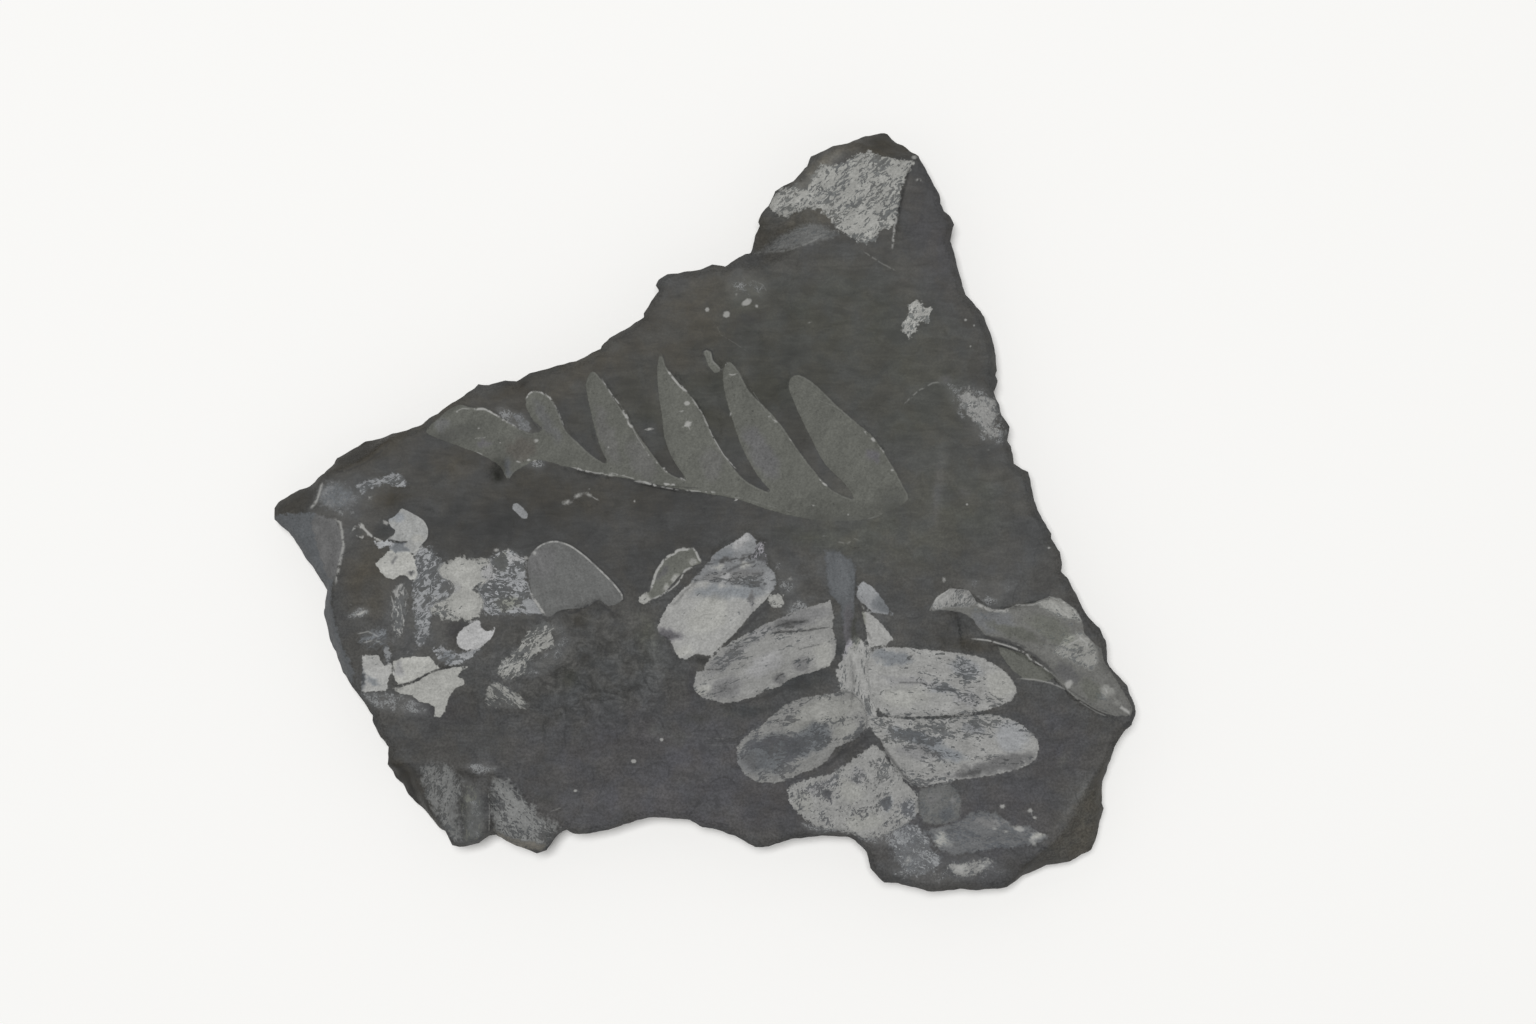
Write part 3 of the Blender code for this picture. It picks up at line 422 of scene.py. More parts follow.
        (38.1, -28.05), (31.7, -28.55), (25.6, -28.5), (23.3, -25.0)],
        147, PALE, Wear(0.65, 0.24, 0.6, 0.8, 0.25, 0.12), grain=-4, stretch=2.4, relief=0.14,
        curved=True),
    "white_south_east": leaf([
        (23.2, -28.95), (31.7, -28.95), (39.4, -28.35), (43.6, -29.4), (46.4, -31.9), (45.9, -34.8),
        (41.3, -36.6), (34.2, -37.6), (29.8, -38.4), (26.8, -36.2), (24.8, -32.4)],
        144, PALE, Wear(0.61, 0.24, 0.7, 0.8, 0.25, 0.12), grain=-8, stretch=2.2, relief=0.14,
        curved=True),
    "white_south": leaf([
        (23.9, -32.6), (26.0, -35.1), (28.2, -37.8), (30.0, -40.4), (28.6, -43.4), (23.6, -45.4),
        (19.0, -44.6), (14.6, -43.2), (11.7, -40.0), (12.8, -37.8), (17.8, -36.4), (21.6, -33.9)],
        141, PALE, CRUMBLY, grain=50, stretch=1.3, relief=0.14, curved=True),
    "south_specks": leaf([
        (26.4, -44.4), (28.8, -43.2), (30.8, -44.6), (31.6, -46.4), (33.0, -48.0), (32.0, -50.2),
        (28.6, -50.6), (26.6, -48.4), (25.8, -46.2)],
        140, BLUE, Wear(0.40, 0.2, 0.5, 0.8, 1.0, 0.4), grain=-30, stretch=1.4, relief=0.0),
    "south_patch": leaf([
        (33.6, -49.6), (34.8, -48.9), (36.6, -49.0), (38.4, -48.4), (40.2, -48.3), (39.6, -49.8),
        (37.6, -50.8), (35.2, -50.9)],
        136, PALE, Wear(0.5, 0.24, 0.8, 0.9, 0.6, 0.3), grain=10, stretch=1.4, relief=0.0),
    "small_grey": leaf([
        (30.0, -39.0), (32.0, -38.3), (33.8, -38.0), (35.0, -38.6), (35.7, -40.0), (35.7, -41.5),
        (35.4, -42.9), (33.4, -43.6), (31.6, -43.6), (30.2, -42.7)],
        99, GREEN, Wear(0.62, 0.70, 0.5, 0.8, 0.3, 0.25), grain=20, relief=0.12, curved=True),
    "slate_leaf": leaf([
        (30.7, -44.45), (35.9, -42.9), (37.3, -41.75), (38.85, -41.6), (40.65, -42.0), (42.0, -42.9),
        (43.4, -44.2), (45.2, -43.55), (45.65, -44.45), (47.9, -45.15), (47.25, -46.05), (45.2, -46.5),
        (41.1, -46.95), (37.95, -47.4), (35.0, -47.85), (32.95, -47.4)],
        102, BLUE, Wear(0.55, 0.62, 0.6, 0.8, 0.5, 0.3), grain=-8, stretch=2.4, relief=0.1),
    # ---- the north end and the east side
    "ledge": leaf([
        (6.9, 35.8), (9.4, 37.1), (11.0, 38.5), (12.8, 39.5), (15.0, 40.0), (17.0, 39.4), (18.8, 38.4),
        (18.0, 37.9), (14.6, 37.0), (11.0, 36.2)],
        108, GREEN, Wear(0.60, 0.52, 0.4, 0.9, 0.5, 0.6), grain=15, stretch=2.5, relief=0.0),
    "north_patch": leaf([
        (10.15, 44.4), (12.3, 45.1), (15.7, 47.2), (16.55, 48.5), (17.8, 47.85), (19.5, 48.5),
        (21.2, 49.5), (23.1, 50.0), (24.6, 49.3), (26.75, 48.9), (28.65, 48.5), (29.3, 48.3),
        (28.55, 47.1), (27.8, 45.6), (27.5, 44.2), (27.2, 41.9), (26.75, 40.4), (25.7, 39.1),
        (24.4, 38.7), (24.0, 37.4), (22.5, 36.9), (21.2, 37.4), (19.95, 38.3), (18.45, 39.1),
        (17.6, 40.0), (17.0, 41.1), (16.1, 41.9), (14.4, 41.9), (12.9, 41.3), (11.2, 40.8),
        (9.95, 41.1), (9.2, 42.1), (9.3, 43.2)],
        150, CREAM, Wear(0.50, 0.28, 0.3, 0.85, 0.6, 0.16), grain=40, stretch=2.0, relief=0.1),
    "small_square": leaf([
        (28.55, 28.7), (29.4, 29.3), (30.15, 29.0), (30.8, 28.2), (31.75, 28.0), (31.4, 27.0),
        (31.2, 26.1), (30.05, 26.1), (29.4, 24.7), (28.5, 23.8), (27.7, 24.9), (27.4, 25.7),
        (28.15, 26.7), (28.35, 27.7)],
        156, CREAM, Wear(0.55, 0.32, 0.2, 0.9, 0.5, 0.14), grain=55, stretch=1.8, relief=0.1),
    "right_patch": leaf([
        (35.6, 15.9), (36.85, 17.0), (37.9, 15.9), (40.0, 15.75), (40.9, 15.25), (41.2, 13.6),
        (40.5, 12.8), (40.05, 11.7), (42.4, 10.9), (41.3, 10.2), (40.05, 9.9), (38.8, 10.7),
        (38.3, 12.0), (36.9, 13.0), (35.5, 14.6)],
        138, PALE, Wear(0.50, 0.28, 0.6, 0.8, 0.7, 0.3), grain=60, stretch=1.2, relief=0.08),
    "east_flake": leaf([
        (31.25, -14.0), (32.3, -12.1), (34.2, -10.8), (36.8, -11.0), (38.1, -12.9), (40.0, -13.65),
        (41.9, -13.8), (43.5, -13.0), (45.75, -12.85), (48.0, -11.9), (49.6, -12.2), (51.8, -13.8),
        (52.6, -15.4), (52.9, -17.0), (54.2, -18.4), (55.3, -19.2), (55.7, -21.0), (57.4, -23.6),
        (59.6, -27.2), (59.4, -28.5), (56.9, -28.6), (54.05, -27.5), (51.5, -25.9), (49.4, -24.1),
        (47.6, -21.9), (46.4, -20.7), (43.85, -18.9), (41.3, -18.0), (39.3, -17.5), (38.3, -16.4),
        (37.4, -15.1), (36.0, -14.2), (33.0, -13.8)],
        104, CREAM, Wear(0.75, 0.78, 0.6, 0.9, 0.15, 0.1), grain=-20, stretch=1.3, relief=0.0),
    "flake_tip": leaf([
        (31.4, -14.0), (32.3, -12.1), (34.2, -10.8), (36.8, -11.0), (37.9, -12.6), (37.0, -13.4),
        (35.4, -13.3), (33.6, -13.5)],
        138, PALE, Wear(0.47, 0.38, 0.6, 0.65, 0.0, 0.05), grain=62, stretch=2.6, relief=0.0),
    "flake_shoulder": leaf([
        (46.4, -12.8), (48.0, -11.9), (49.6, -12.2), (51.8, -13.8), (52.6, -15.4), (51.2, -15.2),
        (49.4, -14.8), (47.4, -13.8)],
        142, CREAM, Wear(0.46, 0.38, 0.6, 0.65, 0.0, 0.05), grain=-35, stretch=2.0, relief=0.0),
    "flake_bloom": leaf([
        (50.6, -17.4), (52.6, -16.8), (54.2, -18.4), (54.8, -20.6), (54.0, -22.4), (52.4, -21.6),
        (50.2, -20.6), (48.4, -19.6)],
        136, CREAM, Wear(0.50, 0.40, 0.6, 0.8, 0.0, 0.05), grain=25, stretch=2.0, relief=0.0),
    "olive_piece": leaf([
        (41.0, -18.9), (43.8, -19.7), (45.4, -20.4), (45.8, -21.3), (47.2, -21.8), (48.5, -22.7),
        (48.6, -23.3), (47.6, -23.9), (44.5, -23.4), (42.9, -22.2), (42.0, -21.0), (41.2, -19.9)],
        94, OLIVE, WHOLE, grain=-25, stretch=2.0, relief=0.12),
    "west_tip": leaf([
        (-54.0, -0.4), (-55.4, -0.3), (-60.2, -0.6), (-60.2, -1.4), (-56.0, -6.8), (-53.2, -10.2),
        (-53.4, -14.2), (-52.4, -18.6), (-51.0, -22.0), (-49.0, -24.2), (-48.4, -22.4), (-50.4, -18.4),
        (-51.8, -13.0), (-51.4, -9.4), (-52.6, -5.4), (-52.6, -2.2)],
        95, SLATE, Wear(0.95, 0.6, 0.4, 1.0, 0.5, 0.3), grain=60, relief=0.0),
    "west_band": leaf([
        (-54.0, -0.4), (-51.2, -1.2), (-50.2, -3.0), (-50.0, -5.0), (-50.6, -7.7), (-51.4, -9.8),
        (-52.8, -8.6), (-53.8, -5.0), (-54.6, -2.0)],
        101, NEUTRAL, Wear(0.85, 0.65, 0.4, 1.0, 0.3, 0.3), grain=70, relief=0.0),
    # ---- the frond, its two loose fragments and a small rod
    "rod": leaf([
        (-26.5, 0.9), (-25.9, 1.1), (-25.1, 0.4), (-24.4, -0.4), (-24.4, -1.1), (-25.0, -1.2),
        (-25.9, -0.4), (-26.6, 0.3)],
        136, BLUE, WHOLE, grain=-48, relief=0.0),
    "fragment": leaf([
        (0.0, 22.1), (1.0, 22.1), (1.3, 20.9), (2.4, 19.6), (1.6, 19.1), (0.7, 20.1)],
        98, OLIVE, WHOLE, grain=-60, rim_side=60, rim=0.3, relief=0.1, curved=True),
    "blue_fragment": leaf([
        (-26.4, 13.2), (-25.4, 13.5), (-24.4, 12.4), (-23.9, 11.1), (-24.8, 11.0), (-25.6, 11.9)],
        112, BLUE, WORN, grain=-40, relief=0.1, curved=True),
    "frond": leaf(FROND, 94, OLIVE, WHOLE, grain=60, stretch=1.8, rim_side=25, rim=0.12, relief=0.14,
                  curved=True),
}

# Thin speckled veils: the outline, the strength from 0 to 1 and the width of the edge in mm.
VEILS = [
    ([(3.4, 31.8), (6.0, 33.0), (8.6, 31.4), (8.4, 29.0), (6.2, 29.4), (4.0, 29.6)], 0.36, 1.4),
    ([(-53.2, 4.0), (-48.0, 4.6), (-44.0, 2.6), (-47.2, 0.8), (-48.6, -1.6), (-49.4, -4.6),
      (-50.8, -1.4), (-53.8, 0.4)], 0.3, 1.4),
    ([(-45.0, -9.8), (-41.5, -9.2), (-38.0, -5.0), (-36.5, -7.5), (-30.0, -6.6), (-28.5, -5.2),
      (-24.6, -6.0), (-24.6, -10.0), (-22.0, -14.6), (-30.0, -15.0), (-31.0, -15.6), (-35.6, -15.6),
      (-35.8, -19.0), (-33.0, -19.6), (-31.0, -19.2), (-33.4, -21.3), (-38.6, -21.2), (-43.0, -20.6),
      (-44.4, -14.0)], 0.20, 0.8),
    ([(-49.4, -14.9), (-48.4, -13.6), (-46.6, -13.4), (-46.4, -14.4), (-48.0, -15.0)], 0.6, 0.5),
    ([(-47.6, -25.2), (-43.0, -25.4), (-40.6, -26.0), (-38.6, -27.0), (-38.4, -28.2), (-41.0, -28.2),
      (-45.4, -27.6)], 0.52, 0.6),
    ([(-20.4, -15.6), (-19.0, -16.4), (-18.6, -18.6), (-20.0, -20.6), (-23.6, -23.2), (-24.8, -22.0),
      (-21.0, -18.8), (-21.0, -17.0)], 0.4, 0.9),
    ([(8.8, -5.6), (10.4, -6.4), (12.4, -8.6), (13.6, -10.4), (11.6, -11.6), (9.8, -9.6)], 0.34, 0.9),
    ([(12.0, -12.6), (14.0, -12.4), (14.2, -14.0), (11.6, -14.4)], 0.5, 0.5),
    ([(-7.0, -16.6), (-4.6, -17.8), (-4.4, -20.4), (-6.6, -21.0), (-7.8, -18.8)], 0.14, 0.8),
    ([(27.6, -44.0), (30.6, -44.4), (32.6, -47.6), (40.0, -48.2), (41.6, -50.2), (36.0, -51.6),
      (29.6, -51.8), (26.0, -50.4), (26.6, -47.0)], 0.34, 0.9),
    ([(13.6, -43.2), (17.6, -44.0), (22.6, -44.6), (27.4, -44.2), (28.6, -45.6), (25.6, -46.6),
      (22.8, -46.2), (20.4, -45.0), (15.6, -44.9)], 0.5, 0.5),
    ([(33.0, 18.2), (35.6, 17.4), (38.6, 17.4), (40.0, 16.2), (41.2, 13.8), (42.3, 11.0),
      (41.8, 8.8), (38.6, 9.6), (36.6, 12.0), (34.6, 14.4)], 0.36, 0.8),
    ([(37.6, -4.6), (40.4, -4.8), (44.6, -4.0), (46.4, -7.0), (44.0, -9.0), (40.0, -9.6),
      (37.0, -8.4), (36.6, -6.4)], 0.14, 1.0),
    ([(35.8, -10.6), (37.8, -9.6), (40.4, -9.8), (43.2, -10.6), (41.6, -12.2), (41.0, -13.5),
      (38.4, -13.0), (37.0, -11.4)], 0.3, 0.6),
    ([(-33.4, -35.4), (-30.4, -35.1), (-28.6, -36.0), (-31.4, -36.6)], 0.5, 0.4),
    ([(-33.6, -37.4), (-31.0, -38.4), (-30.4, -41.0), (-30.2, -45.0), (-33.6, -46.4), (-35.4, -43.6),
      (-33.4, -41.0)], 0.34, 0.8),
    ([(-28.6, 14.2), (-26.4, 13.8), (-24.6, 12.8), (-24.4, 10.6), (-27.2, 11.4)], 0.5, 0.6),
    ([(-25.6, 7.8), (-24.6, 6.2), (-22.4, 5.9), (-22.0, 7.2)], 0.45, 0.5),
]

# Places where a leaf thins away: middle, half length, half width, angle and how much is lost.
FADES = [
    (27.0, -0.2, 2.8, 2.0, -30, 0.8),
    (19.0, -1.7, 6.4, 1.1, -2, 0.6),
    (-36.6, 9.8, 4.4, 1.3, 20, 0.45),
    (-28.4, 6.4, 3.0, 1.3, 0, 0.4),
    (-24.6, 10.6, 1.6, 1.0, 0, 0.2),
]

# Spots where a leaf is darker or lighter: middle, half length, half width, angle in degrees, the
# change in grey level, the change in how much of the leaf is left, and the tint that it takes.
STAINS = [
    # northern white leaflet
    (5.2, -4.2, 1.7, 0.9, 50, 22, 0.0, NEUTRAL),
    (2.6, -6.4, 1.4, 0.7, 20, -12, 0.0, SLATE),
    (5.8, -7.8, 0.7, 0.4, 0, 36, 0.2, CREAM),
    (2.9, -9.3, 0.8, 0.5, 0, 40, 0.2, CREAM),
    (2.2, -7.8, 1.1, 0.35, 10, 34, 0.2, CREAM),
    (5.6, -6.8, 0.5, 0.3, 0, -44, 0.0, NEUTRAL),
    (3.0, -6.8, 1.1, 0.3, 0, -40, 0.0, NEUTRAL),
    (9.2, -9.6, 0.9, 1.6, 0, 16, 0.1, BLUE),
    (3.8, -9.0, 4.6, 0.8, 4, -6, -0.06, NEUTRAL),
    (3.6, -11.4, 5.2, 1.1, 4, -22, 0.0, SLATE),
    (6.7, -12.4, 0.5, 1.3, 0, -30, -0.25, NEUTRAL),
    (0.6, -14.6, 3.4, 2.4, 45, 6, 0.06, CREAM),
    (-4.8, -17.2, 1.9, 0.9, -10, -62, 0.1, VIOLET),
    (-5.6, -18.4, 0.9, 0.9, 0, -60, 0.1, VIOLET),
    (-2.8, -19.6, 1.4, 0.7, 20, 12, 0.1, CREAM),
    (-0.8, -20.4, 0.9, 0.4, 0, -60, 0.0, BLUE),
    # middle white leaflet
    (3.4, -20.4, 3.6, 1.1, 36, -14, -0.16, NEUTRAL),
    (12.2, -15.6, 2.4, 0.5, 8, -30, -0.2, NEUTRAL),
    (8.0, -17.0, 2.0, 0.8, 24, -8, -0.16, NEUTRAL),
    (13.6, -14.9, 4.6, 1.2, 18, -16, -0.06, NEUTRAL),
    (3.2, -24.1, 2.4, 1.0, 10, -16, -0.04, NEUTRAL),
    (3.0, -25.2, 2.2, 1.0, 0, -18, 0.0, NEUTRAL),
    (16.8, -20.0, 1.5, 2.0, 0, 16, 0.12, CREAM),
    (13.6, -21.2, 1.2, 0.9, 20, -22, -0.12, NEUTRAL),
    (10.6, -23.2, 0.9, 0.7, 30, -30, -0.2, NEUTRAL),
    (8.4, -21.4, 3.2, 1.4, 30, 8, 0.05, NEUTRAL),
    (-0.2, -25.0, 1.2, 0.7, 20, 16, 0.1, CREAM),
    # western leaflet
    (9.2, -33.8, 4.4, 2.6, 15, -30, -0.10, SLATE),
    (14.6, -31.8, 3.4, 2.0, 30, -24, -0.12, SLATE),
    (17.6, -27.6, 4.4, 1.8, 5, 10, 0.12, CREAM),
    (14.6, -28.6, 3.4, 1.4, 30, 8, 0.1, CREAM),
    (19.6, -30.4, 2.0, 1.2, 40, 12, 0.25, CREAM),
    (6.2, -35.0, 1.4, 1.4, 60, -6, 0.1, BLUE),
    # eastern leaflet
    (26.2, -20.4, 3.0, 1.0, -8, -26, -0.04, SLATE),
    (36.4, -22.0, 2.4, 1.4, -20, -6, -0.18, BLUE),
    (33.4, -24.9, 2.6, 0.6, -10, -8, -0.2, BLUE),
    (36.6, -26.2, 2.0, 1.0, 0, -6, -0.1, NEUTRAL),
    (41.2, -24.2, 2.0, 2.2, 60, 6, 0.14, CREAM),
    (27.8, -26.0, 3.6, 1.5, 0, 6, 0.14, CREAM),
    (29.0, -23.7, 4.4, 0.5, -4, -6, -0.14, NEUTRAL),
    # south-eastern leaflet
    (29.0, -31.4, 3.4, 0.9, -14, -20, -0.11, SLATE),
    (33.0, -33.4, 3.6, 1.2, -16, -18, -0.11, SLATE),
    (29.6, -33.6, 3.0, 1.0, -10, -14, -0.06, NEUTRAL),
    (37.6, -30.2, 1.6, 0.8, 0, -12, -0.04, BLUE),
    (42.8, -31.4, 2.4, 2.2, -30, 2, 0.1, BLUE),
    (40.6, -35.4, 5.2, 1.1, 14, -40, 0.1, NEUTRAL),
    (36.0, -36.6, 2.6, 0.5, 6, -30, 0.1, NEUTRAL),
    # southern leaflet
    (17.2, -39.8, 0.9, 0.6, -50, -40, -0.4, NEUTRAL),
    (25.6, -40.8, 1.0, 1.0, 0, -12, -0.3, SLATE),
    (21.4, -36.6, 1.0, 1.2, 40, -6, -0.2, NEUTRAL),
    (16.0, -38.4, 3.0, 0.8, 30, -4, -0.12, NEUTRAL),
    (20.6, -39.0, 1.8, 1.6, 0, 6, 0.12, CREAM),
    (22.4, -43.2, 2.6, 1.2, 0, 6, 0.14, CREAM),
    (28.6, -41.6, 1.0, 1.8, 20, -4, -0.2, BLUE),
    (14.0, -40.6, 1.4, 1.4, -40, 4, -0.06, CREAM),
    # slate leaf and its spots
    (33.0, -45.7, 1.3, 1.0, 0, 50, 0.0, CREAM),
    (32.0, -40.0, 1.2, 0.9, 20, 7, 0.1, NEUTRAL),
    (33.8, -42.2, 1.3, 0.8, -30, -8, 0.0, SLATE),
    (34.6, -40.2, 0.5, 0.5, 0, 10, 0.2, NEUTRAL),
    (46.3, -45.3, 1.2, 0.7, 10, 56, 0.1, CREAM),
    (40.4, -43.4, 3.0, 0.7, -10, 14, 0.0, NEUTRAL),
    # west side
    (-35.2, -10.6, 1.4, 1.0, 20, -10, -0.2, NEUTRAL),
    (-33.2, -9.0, 2.2, 1.8, 0, 6, 0.2, CREAM),
    (-33.0, -13.2, 2.0, 1.5, 0, 6, 0.2, CREAM),
    (-28.0, -7.2, 0.9, 1.2, 0, -20, -0.2, OLIVE),
    (-27.0, -12.8, 1.6, 1.1, 0, -14, -0.1, OLIVE),
    (-25.8, -6.4, 1.4, 0.7, 0, 6, 0.14, NEUTRAL),
    (-29.6, -8.6, 1.2, 1.4, 0, 4, 0.1, NEUTRAL),
    (-42.6, -0.9, 1.2, 0.7, 0, -8, 0.0, SLATE),
    (-39.6, -4.0, 1.0, 0.7, 30, 8, 0.0, CREAM),
    (-43.1, -6.6, 0.35, 0.28, 0, -60, -0.1, NEUTRAL),
    (-40.5, -8.7, 0.3, 0.25, 0, -80, -0.1, NEUTRAL),
    (-46.0, -23.5, 0.9, 0.6, 0, -36, 0.0, SLATE),
    # a dark strip along the west edge of the square film: painted shadow
    (-47.6, -23.0, 0.35, 2.2, 0, -90, 0.0, SLATE),
    (-42.4, -22.0, 0.8, 1.0, 0, -22, 0.0, NEUTRAL),
    (-35.6, -20.4, 1.2, 0.7, 20, -30, 0.0, SLATE),
    # fan and rimmed leaflet
    (-22.6, -7.4, 2.4, 2.4, 0, 3, 0.0, NEUTRAL),
    (-14.9, -13.2, 0.8, 0.6, 0, -40, -0.6, NEUTRAL),
    (-4.0, -9.4, 0.6, 0.5, 50, 46, 0.0, CREAM),
    (-5.0, -10.8, 0.6, 0.35, 50, 46, 0.0, CREAM),
    (-1.6, -7.2, 0.5, 0.5, 0, 40, 0.0, CREAM),
    (-5.8, -8.6, 1.4, 0.6, 55, -8, 0.0, NEUTRAL),
    # north patch
    (14.0, 45.8, 1.3, 1.1, 30, -46, -0.35, BROWN),
    (17.4, 49.0, 1.3, 0.9, 20, -46, -0.35, BROWN),
    (13.6, 42.9, 3.0, 1.0, -10, 6, 0.02, CREAM),
    (22.6, 39.6, 2.0, 1.6, 20, 8, 0.1, CREAM),
    # east flake
    (40.4, -15.4, 3.0, 1.6, -10, 2, 0.0, BLUE),
    (48.4, -16.6, 4.0, 1.4, -30, -2, 0.0, OLIVE),
    (33.4, -11.8, 1.8, 0.7, 35, 16, 0.3, PALE),
    (48.6, -12.9, 1.6, 0.6, -10, 6, 0.3, CREAM),
    (50.4, -14.2, 1.2, 0.5, -40, 6, 0.25, CREAM),
    (52.8, -18.4, 0.8, 1.1, 20, 6, 0.3, CREAM),
    (53.4, -20.8, 0.8, 1.1, 0, 0, 0.25, CREAM),
    (51.2, -18.2, 1.2, 0.4, 30, 0, 0.2, CREAM),
    (56.0, -25.0, 0.8, 1.0, 30, 34, 0.0, CREAM),
    (57.4, -26.4, 0.6, 0.4, -40, 16, 0.0, CREAM),
    (50.6, -22.6, 2.0, 1.0, -40, -12, 0.0, NEUTRAL),
    (53.8, -24.8, 1.8, 1.0, -50, -10, 0.0, OLIVE),
    (43.4, -17.0, 4.0, 0.7, -18, -12, 0.0, OLIVE),
    # stem
    (24.9, -13.1, 1.7, 1.1, -50, -34, 0.0, SLATE),
    (19.0, -9.0, 1.1, 3.2, 0, 4, 0.1, SLATE),
    (21.4, -16.0, 0.9, 3.0, -10, -26, -0.2, OLIVE),
    (19.9, -16.6, 0.7, 4.0, -8, -6, 0.0, VIOLET),
    # frond
    (-8.8, 7.0, 3.4, 1.6, -60, 2, 0.0, CREAM),
    (-13.4, 10.4, 1.1, 4.6, 20, 2, 0.0, CREAM),
    (-21.8, 12.4, 0.9, 3.4, 30, 2, 0.0, GREEN),
    (1.2, 6.4, 1.4, 2.4, 0, 3, 0.0, CREAM),
    (23.4, 7.7, 1.0, 1.1, 0, 2, 0.0, VIOLET),
    (5.8, 3.2, 0.8, 0.8, 0, -5, 0.0, OLIVE),
    (12.2, 1.2, 1.1, 0.9, 0, -5, 0.0, OLIVE),
    (-30.0, 9.3, 1.0, 0.5, 0, 4, 0.0, VIOLET),
    (-36.2, 11.6, 0.9, 1.2, 0, 6, 0.0, GREEN),
    (-27.2, 6.2, 0.6, 1.7, 10, 0, 0.0, SLATE),
    (-30.6, 4.7, 0.5, 0.4, 0, -20, 0.0, NEUTRAL),
    (18.0, 0.2, 6.0, 1.2, 0, -7, 0.0, OLIVE),
    (26.0, 1.6, 2.6, 2.2, 0, -4, -0.1, OLIVE),
    (24.6, -0.4, 3.0, 1.0, 0, -6, -0.15, OLIVE),
    (-31.4, 12.0, 2.4, 1.4, 20, -4, 0.0, OLIVE),
    (-34.0, 10.4, 4.2, 1.4, 20, -5, 0.0, OLIVE),
    (-28.0, 8.4, 2.6, 1.6, 0, -5, 0.0, OLIVE),
    (-25.4, 8.6, 2.2, 1.6, 0, -8, 0.0, BROWN),
    (-2.4, 13.6, 1.4, 4.0, 20, 3, 0.0, OLIVE),
    (8.0, 8.0, 1.6, 4.2, 30, 2, 0.0, NEUTRAL),
    (20.0, 8.0, 2.2, 5.0, 40, 2, 0.0, OLIVE),
]
